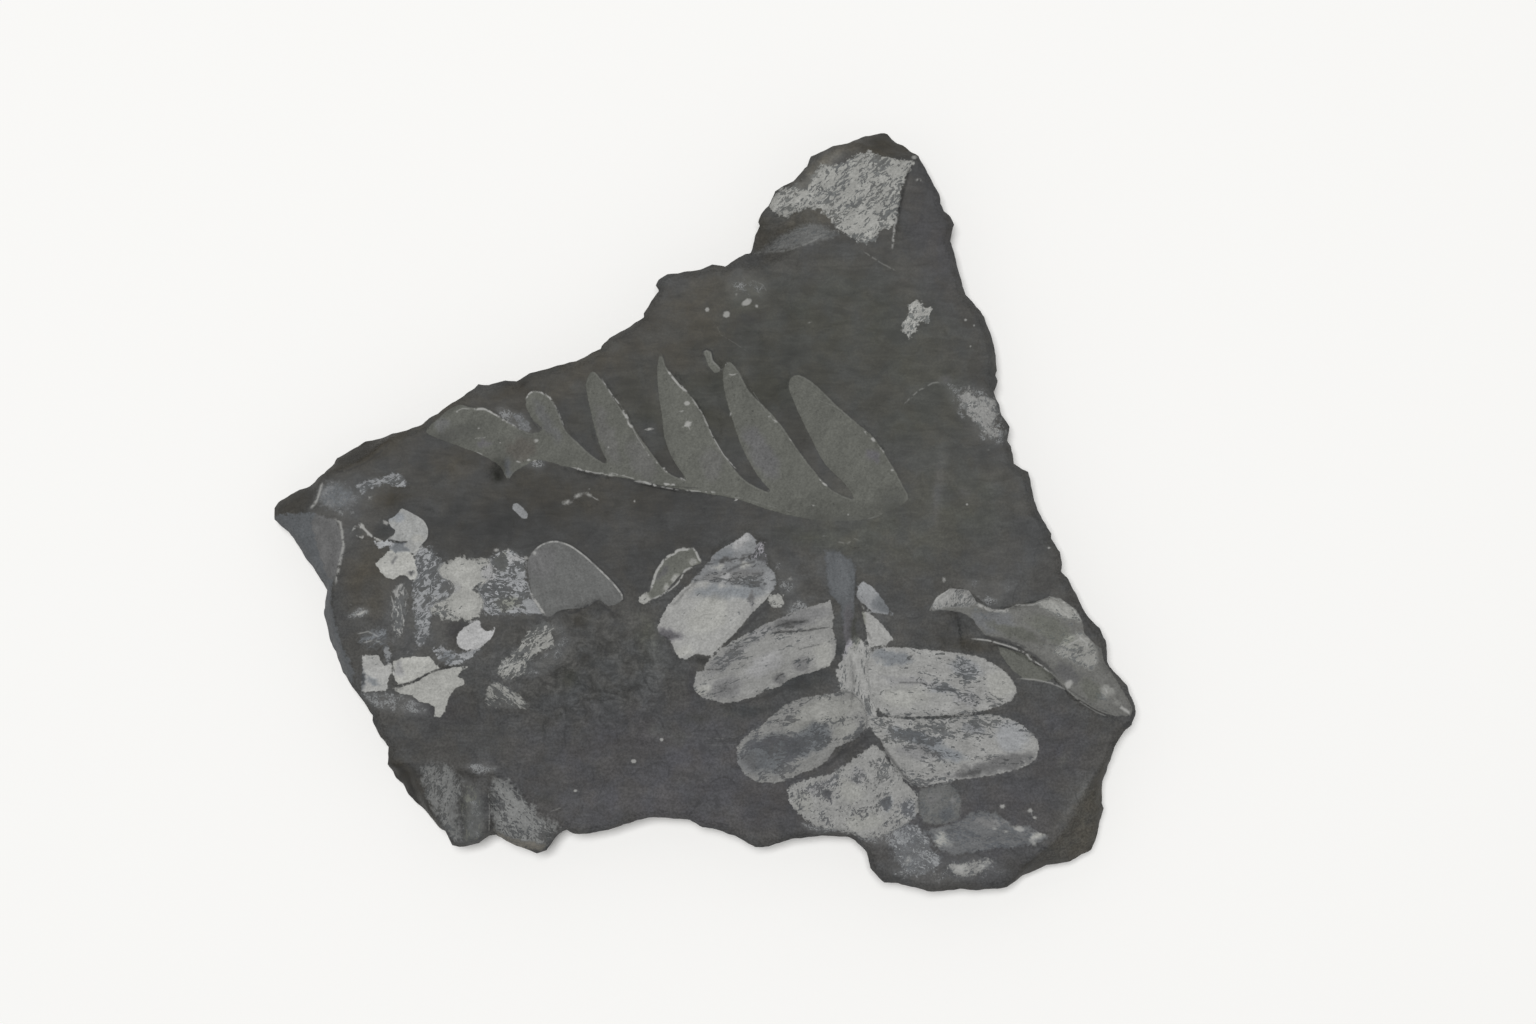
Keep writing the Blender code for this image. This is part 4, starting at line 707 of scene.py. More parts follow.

# Changes of the shale's brightness and tint, some of them painted shade: middle, half length, half
# width, angle, brightness and tint.
TINTS = [
    # broad fields
    # the first field darkens the shale round the frond's stalk: painted falloff of the light
    (-14.0, 0.0, 24.0, 11.0, 0, 0.77, NEUTRAL),
    (3.0, 16.0, 19.0, 8.0, 8, 0.79, OLIVE),
    (-32.0, -28.6, 11.0, 4.0, 0, 0.84, NEUTRAL),
    (-16.0, -21.0, 5.0, 6.0, 0, 0.88, NEUTRAL),
    (-17.0, 19.4, 11.0, 2.6, 28, 1.0, BROWN),
    (-2.0, 29.0, 7.0, 2.2, 38, 1.02, BROWN),
    (-39.0, 13.0, 8.0, 2.2, 30, 1.06, BROWN),
    (-4.0, -33.0, 26.0, 7.0, 0, 1.03, LILAC),
    (-2.0, -41.0, 24.0, 4.6, 0, 1.04, LILAC),
    (9.5, -41.5, 4.8, 3.4, 0, 0.96, VIOLET),
    (-14.0, -22.0, 12.0, 6.0, 20, 0.97, BLUE),
    (38.0, -43.0, 14.0, 9.0, 0, 0.94, LILAC),
    (48.0, -32.0, 6.0, 5.0, -30, 0.97, LILAC),
    (-1.0, 24.4, 9.0, 4.0, 38, 0.97, BROWN),
    (18.0, 27.0, 13.0, 7.0, 0, 0.97, OLIVE),
    (6.0, 29.5, 2.8, 2.6, 0, 1.08, OLIVE),
    (6.5, 26.8, 1.7, 0.8, 0, 0.8, NEUTRAL),
    (-20.0, 2.0, 12.0, 3.0, 0, 0.97, BROWN),
    (-34.0, 6.6, 5.0, 2.0, 20, 0.94, BROWN),
    (-30.0, -2.0, 9.0, 4.0, 0, 0.76, NEUTRAL),
    (-46.6, -9.6, 3.0, 5.4, 0, 0.9, UMBER),
    (-43.3, 1.9, 2.6, 1.5, 10, 0.72, UMBER),
    (-44.4, -2.8, 1.6, 1.2, 0, 0.75, SLATE),
    (-36.4, -27.6, 4.4, 2.0, -20, 0.85, VIOLET),
    (-33.6, -32.2, 8.0, 3.0, 0, 0.95, NEUTRAL),
    (30.0, 16.0, 8.0, 10.0, 0, 1.0, OLIVE),
    (32.0, 38.0, 3.0, 8.0, 10, 0.95, VIOLET),
    (24.0, -2.6, 10.0, 5.4, -18, 1.20, OLIVE),
    (15.5, -3.9, 6.0, 1.3, -8, 1.12, OLIVE),
    (36.0, 1.0, 7.0, 6.0, 0, 1.08, OLIVE),
    (46.0, -6.0, 2.6, 5.0, 0, 1.0, BLUE),
    (-7.8, -17.4, 1.6, 3.0, 15, 1.3, OLIVE),
    # broken faces
    (-46.6, 8.2, 5.0, 1.6, 24, 0.86, UMBER),
    (-48.0, 7.9, 4.6, 1.0, 27, 0.62, UMBER),
    # the south-west face is painted much darker: its own dark brown and painted shade of its steep slope
    (-42.0, -38.4, 6.0, 2.2, -54, 0.34, UMBER),
    (25.0, 50.8, 5.4, 2.2, 0, 0.88, UMBER),
    (16.0, 47.6, 5.2, 1.3, 42, 1.85, BROWN),
    (12.4, 39.0, 3.6, 1.0, 20, 1.05, BROWN),
    (8.0, 39.0, 1.6, 3.2, 10, 0.85, BROWN),
    (14.6, 40.6, 4.6, 1.6, 0, 1.22, BROWN),
    (53.4, -43.0, 3.4, 8.0, -25, 1.35, BROWN),
    (51.2, -40.8, 5.6, 0.35, 54, 1.22, NEUTRAL),
    (50.2, -34.6, 0.8, 1.8, -20, 1.22, NEUTRAL),
    (-27.0, 16.6, 6.0, 1.1, 20, 0.85, BROWN),
    (-32.2, -36.6, 1.6, 1.0, 0, 0.62, NEUTRAL),
    (-33.6, -40.0, 0.8, 3.0, 10, 0.75, NEUTRAL),
    (-29.4, -40.0, 0.5, 3.4, 4, 0.75, NEUTRAL),
    # shaded hollows beside leaves
    (34.4, -15.8, 3.2, 1.6, 0, 0.80, NEUTRAL),
    (36.0, -18.6, 5.0, 0.9, -8, 0.78, BROWN),
    (-34.2, -16.8, 1.7, 1.8, 0, 0.72, VIOLET),
    (-24.4, 4.6, 3.6, 1.2, -10, 0.92, BROWN),
    (-28.4, 5.0, 0.9, 1.3, 0, 0.5, OLIVE),
    (13.8, -21.4, 8.0, 2.2, 26, 0.78, SLATE),
    (14.4, -23.6, 2.8, 1.2, 15, 0.78, SLATE),
    (20.4, -34.4, 4.6, 0.9, -35, 0.8, NEUTRAL),
    (34.0, -28.7, 10.0, 0.5, 0, 0.9, SLATE),
    (26.6, -35.2, 2.8, 0.8, -52, 0.75, NEUTRAL),
    (-2.0, -12.6, 2.6, 1.0, 45, 0.75, BROWN),
    (5.4, -28.0, 4.4, 1.0, 5, 0.72, SLATE),
    (-1.2, -28.9, 2.2, 0.8, 0, 0.8, BLUE),
    (-1.6, -23.8, 0.7, 2.4, 0, 0.7, VIOLET),
    (-0.3, -20.9, 1.0, 0.6, 0, 0.6, BLUE),
    # small dark and pale blotches; the dark ones in the broken ground of the lower middle are painted
    # shadow
    (-14.6, -13.6, 1.1, 0.8, 0, 0.73, NEUTRAL),
    (-12.6, -14.4, 1.1, 0.35, 0, 0.76, NEUTRAL),
    (-17.0, -15.0, 1.6, 1.0, 10, 0.82, BROWN),
    (-11.8, -17.7, 1.4, 0.35, 30, 0.79, NEUTRAL),
    (-16.3, -20.4, 1.0, 0.6, 0, 0.82, NEUTRAL),
    (-18.5, -23.1, 1.1, 1.4, 0, 0.88, OLIVE),
    (-20.0, -28.4, 1.8, 1.0, 10, 0.9, NEUTRAL),
    (-22.5, -29.3, 0.8, 0.6, 0, 0.79, NEUTRAL),
    (-22.4, -30.5, 0.7, 0.5, 0, 0.82, NEUTRAL),
    (-1.5, -33.8, 1.4, 0.8, 20, 0.85, VIOLET),
    (-22.0, -40.0, 1.4, 1.0, 0, 0.82, NEUTRAL),
    (-10.5, -2.7, 0.6, 0.5, 0, 0.73, NEUTRAL),
    (41.1, 11.8, 1.1, 0.9, 0, 0.7, BROWN),
    (-19.0, -21.0, 1.1, 0.9, 0, 1.21, NEUTRAL),
    (-17.5, -18.0, 1.0, 0.9, 0, 1.15, NEUTRAL),
    (-6.5, -30.5, 1.4, 1.0, 0, 1.18, BLUE),
    (-3.4, -31.4, 1.2, 0.8, 0, 1.18, BLUE),
    (3.5, -28.3, 1.4, 0.3, 5, 1.3, NEUTRAL),
    (1.2, 7.0, 1.6, 1.6, 0, 1.09, BLUE),
    (-7.4, 11.3, 1.4, 1.0, 0, 1.15, BLUE),
    (32.5, 2.6, 0.7, 4.6, -5, 1.26, NEUTRAL),
    (36.0, 2.5, 0.8, 0.6, 0, 1.18, NEUTRAL),
    (33.6, 18.2, 1.0, 0.7, 0, 1.18, NEUTRAL),
]

# Fine pale lines: the line, its half width in mm and its strength.  The rims among them are partly
# pale mineral and partly painted highlight.
PALE_LINES = [
    # the edge between the two southern swellings
    ([(-29.9, -38.2), (-29.7, -41.5), (-29.8, -45.0)], 0.14, 0.5),
    # streaks of the east flake
    ([(32.4, -13.7), (32.0, -12.9)], 0.12, 0.6),
    ([(33.3, -13.4), (32.8, -12.2)], 0.12, 0.6),
    ([(34.1, -13.1), (33.8, -11.5)], 0.12, 0.6),
    ([(34.9, -12.9), (34.9, -11.2)], 0.12, 0.6),
    ([(35.7, -12.8), (36.2, -11.4)], 0.12, 0.6),
    ([(49.6, -12.8), (51.2, -13.6), (52.4, -15.2)], 0.2, 0.6),
    ([(52.0, -17.4), (53.2, -18.4), (53.6, -19.6)], 0.2, 0.6),
    ([(50.4, -18.8), (52.2, -17.9)], 0.16, 0.5),
    ([(48.8, -20.0), (50.8, -19.2)], 0.14, 0.4),
    ([(55.6, -24.4), (56.2, -25.6)], 0.2, 0.6),
    # rims of the frond's pinnules, from west to east
    ([(-34.6, 13.6), (-33.4, 14.2), (-32.0, 14.05)], 0.16, 0.5),
    ([(-32.0, 14.05), (-30.6, 14.15), (-29.6, 13.7), (-28.2, 12.9)], 0.2, 0.9),
    ([(-32.0, 10.0), (-30.4, 10.1), (-29.6, 10.5)], 0.18, 0.4),
    ([(-32.0, 8.4), (-30.4, 7.6)], 0.18, 0.5),
    ([(-26.3, 7.0), (-25.2, 6.6)], 0.2, 0.6),
    ([(-24.7, 15.4), (-24.2, 16.2), (-23.6, 16.6), (-22.6, 16.4), (-21.6, 15.8), (-20.9, 15.2)],
     0.18, 0.85),
    ([(-20.9, 15.2), (-20.1, 13.6), (-19.3, 11.6)], 0.16, 0.45),
    ([(-14.2, 18.4), (-12.8, 16.2), (-11.2, 14.1)], 0.16, 0.6),
    ([(-11.2, 14.0), (-10.5, 12.7), (-10.3, 12.0), (-9.8, 11.4)], 0.26, 1.0),
    ([(-9.8, 11.4), (-9.2, 10.2), (-7.6, 7.7)], 0.16, 0.45),
    ([(-6.7, 6.9), (-6.2, 6.3)], 0.2, 0.6),
    ([(-5.6, 5.8), (-5.0, 5.4)], 0.24, 0.9),
    ([(-3.4, 4.6), (-2.4, 4.1)], 0.18, 0.6),
    ([(-5.2, 19.8), (-4.4, 18.6), (-3.4, 17.4), (-2.2, 16.4)], 0.2, 0.95),
    ([(-2.2, 16.4), (-1.2, 15.0), (-0.2, 13.5), (0.6, 11.8), (1.2, 10.4), (2.8, 7.7), (5.2, 5.0)],
     0.16, 0.6),
    ([(-2.5, 12.9), (-2.2, 12.0), (-1.8, 11.0)], 0.18, 0.5),
    ([(-3.1, 11.4), (-2.2, 12.0), (-1.3, 12.4)], 0.18, 0.5),
    ([(-3.6, 13.6), (-2.4, 14.0)], 0.16, 0.5),
    ([(3.3, 19.0), (4.0, 18.8), (4.9, 19.1)], 0.18, 0.6),
    ([(3.0, 20.2), (3.6, 20.6)], 0.18, 0.6),
    ([(3.9, 13.8), (3.6, 12.9)], 0.16, 0.6),
    ([(5.6, 18.2), (7.2, 16.0), (9.0, 13.2)], 0.14, 0.3),
    ([(9.0, 13.2), (10.4, 12.1)], 0.2, 0.65),
    ([(11.8, 10.1), (12.3, 9.5)], 0.18, 0.6),
    ([(16.0, 4.4), (17.2, 3.3)], 0.22, 0.9),
    ([(15.2, 15.6), (18.0, 14.6), (20.4, 12.9)], 0.14, 0.3),
    ([(21.0, 12.4), (21.3, 11.9)], 0.18, 0.6),
    ([(22.2, 11.1), (22.8, 10.6)], 0.2, 0.8),
    ([(23.2, 10.3), (23.9, 9.5)], 0.26, 1.0),
    ([(24.4, 9.0), (25.2, 7.9)], 0.18, 0.7),
    # rims of the stalk
    ([(-18.6, 6.1), (-17.0, 5.7), (-15.6, 5.3), (-14.0, 5.1), (-12.2, 4.7)], 0.16, 0.6),
    ([(-17.6, 5.85), (-15.6, 5.3)], 0.2, 0.9),
    ([(-13.0, 5.3), (-11.0, 4.8), (-9.4, 4.3)], 0.14, 0.5),
    ([(-10.0, 4.1), (-8.6, 4.0), (-7.6, 3.7), (-6.4, 3.4), (-4.8, 3.1), (-3.2, 2.8)], 0.16, 0.6),
    ([(-8.4, 3.95), (-6.6, 3.45)], 0.22, 0.9),
    ([(-5.6, 3.75), (-4.6, 3.6), (-3.8, 3.5)], 0.2, 0.9),
    ([(-2.6, 2.8), (-1.0, 2.7), (0.4, 2.6), (1.8, 2.5)], 0.16, 0.65),
    ([(1.8, 2.5), (5.0, 1.8), (9.0, 0.7), (13.0, -0.4)], 0.14, 0.3),
    ([(4.2, 1.3), (4.8, 1.6)], 0.2, 0.8),
    ([(14.8, 0.75), (15.6, 0.65)], 0.2, 0.6),
    ([(25.0, -0.3), (23.8, -0.9), (22.5, -1.2)], 0.25, 0.3),
    ([(16.2, -3.6), (17.4, -3.4)], 0.25, 0.3),
    ([(18.4, -4.3), (20.0, -4.6), (20.6, -4.2)], 0.25, 0.35),
    ([(20.6, -3.8), (22.0, -4.2)], 0.25, 0.3),
    ([(-26.7, 12.1), (-25.9, 11.6)], 0.2, 0.8),
    ([(-15.6, 2.0), (-14.4, 1.3)], 0.16, 0.5),
    ([(-16.2, 2.9), (-15.5, 3.1)], 0.14, 0.4),
    ([(-15.0, 2.3), (-14.5, 2.1)], 0.14, 0.4),
    # the rimmed leaflet
    ([(-7.4, -11.2), (-7.0, -10.0), (-6.7, -8.9), (-6.4, -8.3), (-5.9, -7.6), (-5.5, -6.9),
      (-4.9, -6.4), (-4.1, -6.0), (-3.5, -5.5), (-2.8, -5.45), (-1.9, -5.4), (-1.5, -5.2)], 0.26, 1.0),
    ([(-1.5, -5.2), (-1.1, -5.6), (-0.9, -6.2), (-0.6, -6.8), (-0.3, -7.2)], 0.22, 0.9),
    ([(-1.0, -7.8), (-1.9, -8.0), (-2.6, -8.3), (-3.0, -9.2), (-3.6, -10.1), (-4.4, -10.8),
      (-5.4, -11.5), (-6.4, -12.0), (-7.4, -12.4)], 0.22, 0.75),
    # the north-east of the plate
    ([(26.2, 36.2), (26.5, 39.2), (26.9, 41.0)], 0.3, 0.6),
    ([(22.0, 36.1), (24.6, 34.4), (27.0, 33.1)], 0.25, 0.35),
    ([(29.4, 46.0), (30.5, 45.9)], 0.3, 0.6),
    ([(6.5, 32.0), (8.2, 31.4), (8.9, 30.2)], 0.2, 0.3),
    ([(4.4, 29.6), (4.8, 31.2), (6.0, 32.4)], 0.2, 0.3),
    ([(1.6, 26.2), (2.4, 24.4), (4.4, 23.2), (6.4, 21.8)], 0.2, 0.25),
    ([(27.6, 14.6), (29.8, 16.6), (31.8, 17.7), (33.2, 17.9)], 0.25, 0.4),
    ([(6.8, 35.9), (9.0, 36.0), (11.4, 36.1), (14.0, 36.9), (17.6, 38.6)], 0.3, 0.35),
    # the east flake
    ([(36.8, -17.8), (39.3, -18.0), (42.6, -18.9), (44.9, -19.8), (45.3, -20.6), (46.3, -21.2),
      (47.0, -21.5), (47.7, -22.2), (48.5, -22.5), (48.6, -23.3)], 0.22, 0.7),
    ([(32.0, -12.8), (32.8, -11.9), (33.8, -11.3)], 0.24, 0.7),
    ([(37.4, -12.4), (38.4, -13.4)], 0.2, 0.6),
    ([(43.0, -23.3), (46.0, -23.5), (48.4, -24.0), (50.4, -24.9), (52.4, -26.6), (54.4, -27.9),
      (57.0, -29.0)], 0.24, 0.5),
    ([(57.8, -27.2), (59.3, -28.2)], 0.35, 0.7),
    ([(38.0, -13.0), (40.0, -13.9), (41.9, -14.0), (42.6, -13.5)], 0.35, 0.8),
    ([(43.2, -13.2), (45.8, -13.1), (47.6, -12.4)], 0.25, 0.6),
    # the west side
    ([(-52.9, 4.0), (-53.4, 2.3), (-53.8, 1.2), (-54.7, 0.2)], 0.35, 0.6),
    ([(-51.6, -1.0), (-50.5, -1.6), (-50.2, -3.0), (-50.0, -5.0), (-50.6, -7.7), (-51.2, -10.6)],
     0.35, 0.6),
    ([(-47.9, -1.7), (-46.9, -2.8), (-46.2, -3.5), (-45.3, -4.0), (-44.6, -4.3)], 0.24, 0.9),
    ([(-48.9, -2.9), (-48.2, -2.2), (-47.4, -2.4)], 0.22, 0.8),
    ([(-48.4, -3.4), (-47.5, -3.8), (-46.9, -3.5)], 0.2, 0.7),
    ([(-47.9, -1.7), (-47.0, -2.2)], 0.2, 0.7),
    ([(-48.4, -14.6), (-47.6, -14.3), (-46.9, -13.9)], 0.26, 0.8),
    ([(-48.2, -17.2), (-46.6, -16.8), (-45.0, -17.6)], 0.18, 0.5),
    ([(-47.4, -18.4), (-45.8, -18.0), (-44.6, -18.4)], 0.18, 0.5),
    ([(-43.4, -11.6), (-43.0, -13.4), (-43.4, -15.0)], 0.18, 0.5),
    ([(-42.2, -12.4), (-41.8, -14.6), (-42.2, -16.8)], 0.18, 0.5),
    ([(-21.5, -41.8), (-19.5, -41.2)], 0.25, 0.35),
    ([(-36.6, -12.6), (-37.6, -11.8)], 0.3, 0.5),
    ([(-24.0, -11.4), (-23.4, -12.4), (-22.6, -13.6), (-22.0, -14.6)], 0.3, 0.8),
    ([(-28.6, -22.0), (-27.0, -21.4), (-25.2, -20.8)], 0.3, 0.6),
    ([(-28.2, -21.2), (-26.8, -20.6)], 0.3, 0.6),
    # thin ridges of the lower middle
    ([(9.9, -16.6), (11.4, -16.5), (13.3, -16.5)], 0.18, 0.6),
    ([(0.0, -31.6), (2.4, -31.7), (5.0, -31.5)], 0.2, 0.3),
    ([(0.0, -32.5), (2.6, -32.6), (5.0, -32.4)], 0.2, 0.25),
]

# Fine dark lines: cracks, creases and painted shadows beside rims and under ledges, given in the same way.
DARK_LINES = [
    # shadows beside the frond's rims
    ([(-24.2, 12.8), (-22.6, 11.0)], 0.16, 0.6),
    ([(-26.0, 11.4), (-24.6, 10.6)], 0.16, 0.6),
    ([(-4.6, 3.3), (-2.0, 3.15), (-0.5, 3.1)], 0.14, 0.6),
    ([(-18.4, 5.7), (-15.4, 4.9), (-12.0, 4.3)], 0.14, 0.5),
    ([(-9.8, 3.75), (-6.3, 3.05), (-3.2, 2.45)], 0.14, 0.5),
    ([(-13.8, 18.6), (-10.8, 14.1), (-9.4, 11.3)], 0.14, 0.4),
    ([(-4.9, 19.9), (-2.9, 17.6), (-0.8, 15.0), (0.9, 11.8)], 0.14, 0.4),
    ([(21.2, 12.5), (23.3, 10.7), (25.5, 7.9)], 0.14, 0.4),
    ([(-43.0, -4.2), (-42.0, -4.5), (-41.1, -4.3)], 0.18, 0.9),
    ([(-52.0, 5.3), (-49.4, 5.5), (-47.0, 6.6), (-45.0, 8.0), (-43.4, 9.7)], 0.3, 0.6),
    # the dark gaps between the western films
    ([(-42.9, -22.6), (-43.2, -21.6), (-43.4, -20.8)], 0.2, 0.8),
    ([(-43.4, -23.2), (-42.6, -24.6), (-41.4, -24.9)], 0.2, 0.6),
    # painted shadows along the edges of small ledges
    *((line, half_width, strength) for line, _, _, half_width, strength in LEDGES),
    ([(0.0, -32.0), (2.4, -32.1), (5.0, -31.9)], 0.2, 0.5),
    ([(0.0, -33.0), (2.0, -34.5)], 0.25, 0.5),
    # creases of the white leaflets
    ([(9.0, -17.0), (11.0, -16.9), (13.0, -16.8), (16.0, -16.4), (17.8, -16.2)], 0.2, 0.9),
    ([(9.8, -16.1), (12.0, -15.6), (14.2, -15.4)], 0.3, 0.8),
    ([(13.0, -19.4), (14.6, -18.9), (16.5, -18.5)], 0.18, 0.6),
    ([(12.6, -21.6), (14.0, -20.8), (14.8, -20.3)], 0.18, 0.6),
    ([(9.9, -23.8), (10.4, -23.0), (11.4, -22.5)], 0.2, 0.7),
    ([(0.2, -22.1), (1.6, -22.1), (3.0, -22.0)], 0.2, 0.7),
    ([(26.0, -23.9), (28.0, -23.9), (30.0, -23.9), (32.0, -24.4)], 0.3, 0.6),
    ([(31.6, -24.6), (33.4, -25.0), (35.2, -25.0)], 0.35, 0.6),
    ([(35.0, -22.9), (36.6, -22.4), (38.2, -22.2)], 0.3, 0.5),
    ([(31.6, -26.3), (33.0, -26.7)], 0.3, 0.5),
    ([(35.6, -26.9), (37.4, -27.0)], 0.25, 0.5),
    ([(24.4, -28.5), (30.0, -28.75), (36.0, -28.6), (41.0, -27.9), (44.0, -27.2)], 0.16, 0.55),
    ([(3.0, -8.6), (5.0, -7.6), (7.6, -7.0)], 0.35, 0.7),
    ([(3.6, -7.0), (5.6, -6.2), (7.4, -6.0)], 0.3, 0.6),
    ([(4.4, -9.4), (6.4, -8.8), (8.6, -8.8)], 0.3, 0.6),
    # the crease between the two western films, and the shadow under the rims
    ([(-43.4, -24.5), (-41.0, -24.0), (-39.6, -23.45), (-38.0, -22.5), (-35.8, -21.8), (-33.4, -21.5)],
     0.2, 0.9),
    ([(38.0, -17.4), (41.5, -17.9), (44.2, -18.9), (46.2, -20.4), (47.6, -21.6), (49.4, -23.4)],
     0.4, 0.9),
    ([(49.4, -23.8), (51.6, -25.4), (54.2, -27.2), (57.0, -28.4)], 0.3, 0.5),
    ([(31.8, -14.0), (34.0, -14.0), (36.2, -14.4)], 0.4, 0.5),
    ([(-0.6, -9.4), (-2.6, -11.4), (-4.6, -13.6)], 0.4, 0.5),
    ([(10.0, -12.4), (7.8, -14.2), (5.4, -16.6), (2.6, -19.0)], 0.5, 0.7),
    ([(1.4, -27.2), (6.0, -26.6), (10.4, -25.2), (14.8, -23.2)], 0.45, 0.6),
    ([(16.6, -36.0), (19.0, -33.8), (21.6, -32.4), (23.4, -31.2)], 0.5, 0.7),
    ([(24.4, -31.6), (26.0, -34.4), (28.0, -37.0), (30.2, -39.0)], 0.45, 0.7),
    ([(19.6, -6.4), (20.6, -9.6), (20.3, -13.4)], 0.3, 0.35),
    ([(21.2, -8.4), (21.2, -12.0), (22.2, -15.4), (23.4, -18.4)], 0.35, 0.6),
    ([(20.4, -20.0), (20.9, -24.0), (20.4, -28.0)], 0.4, 0.5),
    ([(27.2, 41.0), (27.7, 44.0), (28.5, 47.0), (29.0, 48.2)], 0.4, 0.6),
    ([(-32.6, -37.0), (-33.6, -41.0), (-33.8, -45.8)], 0.6, 0.5),
    ([(-29.4, -37.6), (-29.2, -41.0), (-29.2, -44.8)], 0.4, 0.4),
]

# Small pale marks: middle, half length, half width and angle, then the strength.
SPOTS = [
    (-18.9, 1.2, 0.9, 0.45, 15, 0.5),
    (-17.5, 2.0, 0.8, 0.5, 25, 0.48),
    (-15.9, 2.2, 0.9, 0.4, -45, 0.44),
    (-27.8, 12.6, 0.25, 0.2, 0, 0.6),
    (-27.3, 12.3, 0.2, 0.2, 0, 0.6),
    (-31.2, 11.4, 0.25, 0.2, 0, 0.5),
    (-34.2, 13.7, 0.25, 0.2, 0, 0.5),
    (-24.3, 7.0, 0.3, 0.2, 30, 0.6),
    (-23.4, 6.9, 0.3, 0.2, 0, 0.5),
    (-28.2, 9.4, 0.35, 0.15, 0, 0.5),
    (-13.2, 8.8, 0.22, 0.18, 0, 0.5),
    (-7.6, 7.7, 0.25, 0.2, -50, 0.5),
    (-23.2, 9.7, 0.4, 0.3, 0, 0.6),
    (-2.3, 14.9, 0.36, 0.3, 0, 0.95),
    (-2.2, 12.0, 0.45, 0.35, 30, 0.8),
    (-7.5, 11.3, 0.6, 0.18, 5, 0.7),
    (26.2, 5.6, 0.26, 0.22, 0, 0.6),
    (-9.6, 1.3, 0.22, 0.22, 0, 0.6),
    (20.1, -0.6, 0.3, 0.16, 70, 0.5),
    (0.5, 27.9, 0.28, 0.28, 0, 0.85),
    (3.2, 27.2, 0.42, 0.4, 20, 0.95),
    (6.0, 28.9, 0.62, 0.36, 25, 0.95),
    (4.6, 30.0, 0.6, 0.3, -30, 0.35),
    (7.4, 28.4, 0.28, 0.25, 0, 0.6),
    (14.8, 26.1, 0.5, 0.3, 0, 0.4),
    (36.4, 26.5, 0.28, 0.22, 0, 0.6),
    (37.6, 25.7, 0.22, 0.22, 0, 0.5),
    (37.1, 22.8, 0.22, 0.22, 0, 0.5),
    (36.6, 0.85, 0.22, 0.2, 0, 0.5),
    (48.0, -5.2, 0.3, 0.22, 0, 0.5),
    (-9.7, -34.8, 0.3, 0.26, 0, 0.95),
    (-17.8, -38.9, 0.24, 0.2, 0, 0.7),
    (-5.8, -31.8, 0.26, 0.24, 0, 0.8),
    (29.3, 49.1, 0.4, 0.3, 0, 0.7),
    (50.7, -24.1, 0.6, 0.45, 60, 0.8),
    (12.0, -9.4, 0.6, 0.4, 20, 0.45),
    (13.0, -12.9, 0.6, 0.5, 0, 0.45),
    (33.4, -9.5, 0.6, 0.3, 90, 0.5),
    (35.9, -49.6, 1.3, 0.7, 10, 0.6),
    (38.9, -49.4, 0.9, 0.6, 0, 0.5),
    (28.4, -48.6, 0.8, 0.5, 60, 0.5),
    (32.2, -50.6, 0.7, 0.4, 0, 0.4),
    (41.5, -41.1, 0.35, 0.3, 0, 0.8),
    (45.4, -41.7, 0.35, 0.3, 0, 0.75),
    (46.0, -42.7, 0.4, 0.25, -40, 0.6),
    (40.4, -44.2, 0.5, 0.3, 0, 0.45),
    (42.0, -44.6, 0.6, 0.35, -10, 0.5),
    (43.8, -44.2, 0.8, 0.4, -10, 0.7),
    (45.8, -46.0, 0.8, 0.5, -30, 0.55),
    (-46.4, 1.8, 0.8, 0.4, 20, 0.4),
    (-50.6, 2.0, 1.0, 0.6, 30, 0.3),
    (-44.1, -1.7, 0.5, 0.3, -30, 0.7),
    (-49.0, -13.0, 0.4, 0.3, 0, 0.4),
    (-23.4, -5.9, 0.3, 0.35, 0, 0.6),
    (-28.8, -5.5, 0.4, 0.3, 20, 0.6),
    (-27.1, -5.5, 0.25, 0.35, 0, 0.6),
    (-24.6, -6.6, 0.4, 0.3, 0, 0.6),
    (39.6, 8.4, 0.4, 0.25, 0, 0.35),
    (28.0, 22.6, 0.4, 0.2, -30, 0.3),
]

# ---------------------------------------------------------------- spacing and fine relief, in mm

MM_PER_METRE = 1000.0
GRID_STEP = 0.39
GRID_JITTER = 0.14  # share of the grid's spacing
GRID_REACH = np.array((60.5, 53.5))  # half the length and width that the top's grid covers
RIM_STEP = 0.45
PART_RIM_STEP = 2.1  # the same spacing in the part
LINE_STEP = 0.4
MERGE = 0.02  # points of the top this close in plan become one
SPOT_POINTS = 6  # points of the mesh round each small mark
UNDERSIDE_STEP = 1.7
UNDERSIDE_ROWS = 0.87  # spacing of its rows, as a share of its step
UNDERSIDE_JITTER = 0.25
UNDERSIDE_MERGE = 1e-7
POINTS_AT_ONCE = 6000
TINY = 1e-9
LEAST_SPAN = 1e-6  # least distance in mm between a broken face's ridge and the outline

MARK_MARGIN = 3.0  # how far from a leaf its distance is worked out
LINE_MARGIN = 1.5  # how far from a fine line its strength is worked out
RAISED = 0.1  # leaves that stand out this far have their outline cut into the mesh
FINE_EDGE = 0.45  # width of a leaf's sloping margin
FACET_TAPER = 1.6  # how gently a broken face starts from its ridge
STEP_END = 0.25  # share of a ledge's line over which it starts and ends
VALLEY_END = 0.6  # share of a valley's line over which it runs out
FACET_ROUGH = 0.5  # how rough the broken faces are
SWELLING_ROUGH = 0.7
LEAF_SMOOTHING = 0.45  # how much of the fine waves a leaf hides
PALE_RELIEF = 0.08  # height of a pale line
DARK_RELIEF = 0.16  # depth of a dark line
FLAKE_STEP = 0.1  # height of a thin layer's edge
BROKEN_FLAKE_STEP = 0.08  # how much higher it is in the broken ground
BROKEN_GROUND = (-13.0, -24.0, 15.0, 9.0, 15)  # middle, half length, half width and angle
RIM_OUTSET = 0.06
ARRIS_CURVE = 1.5
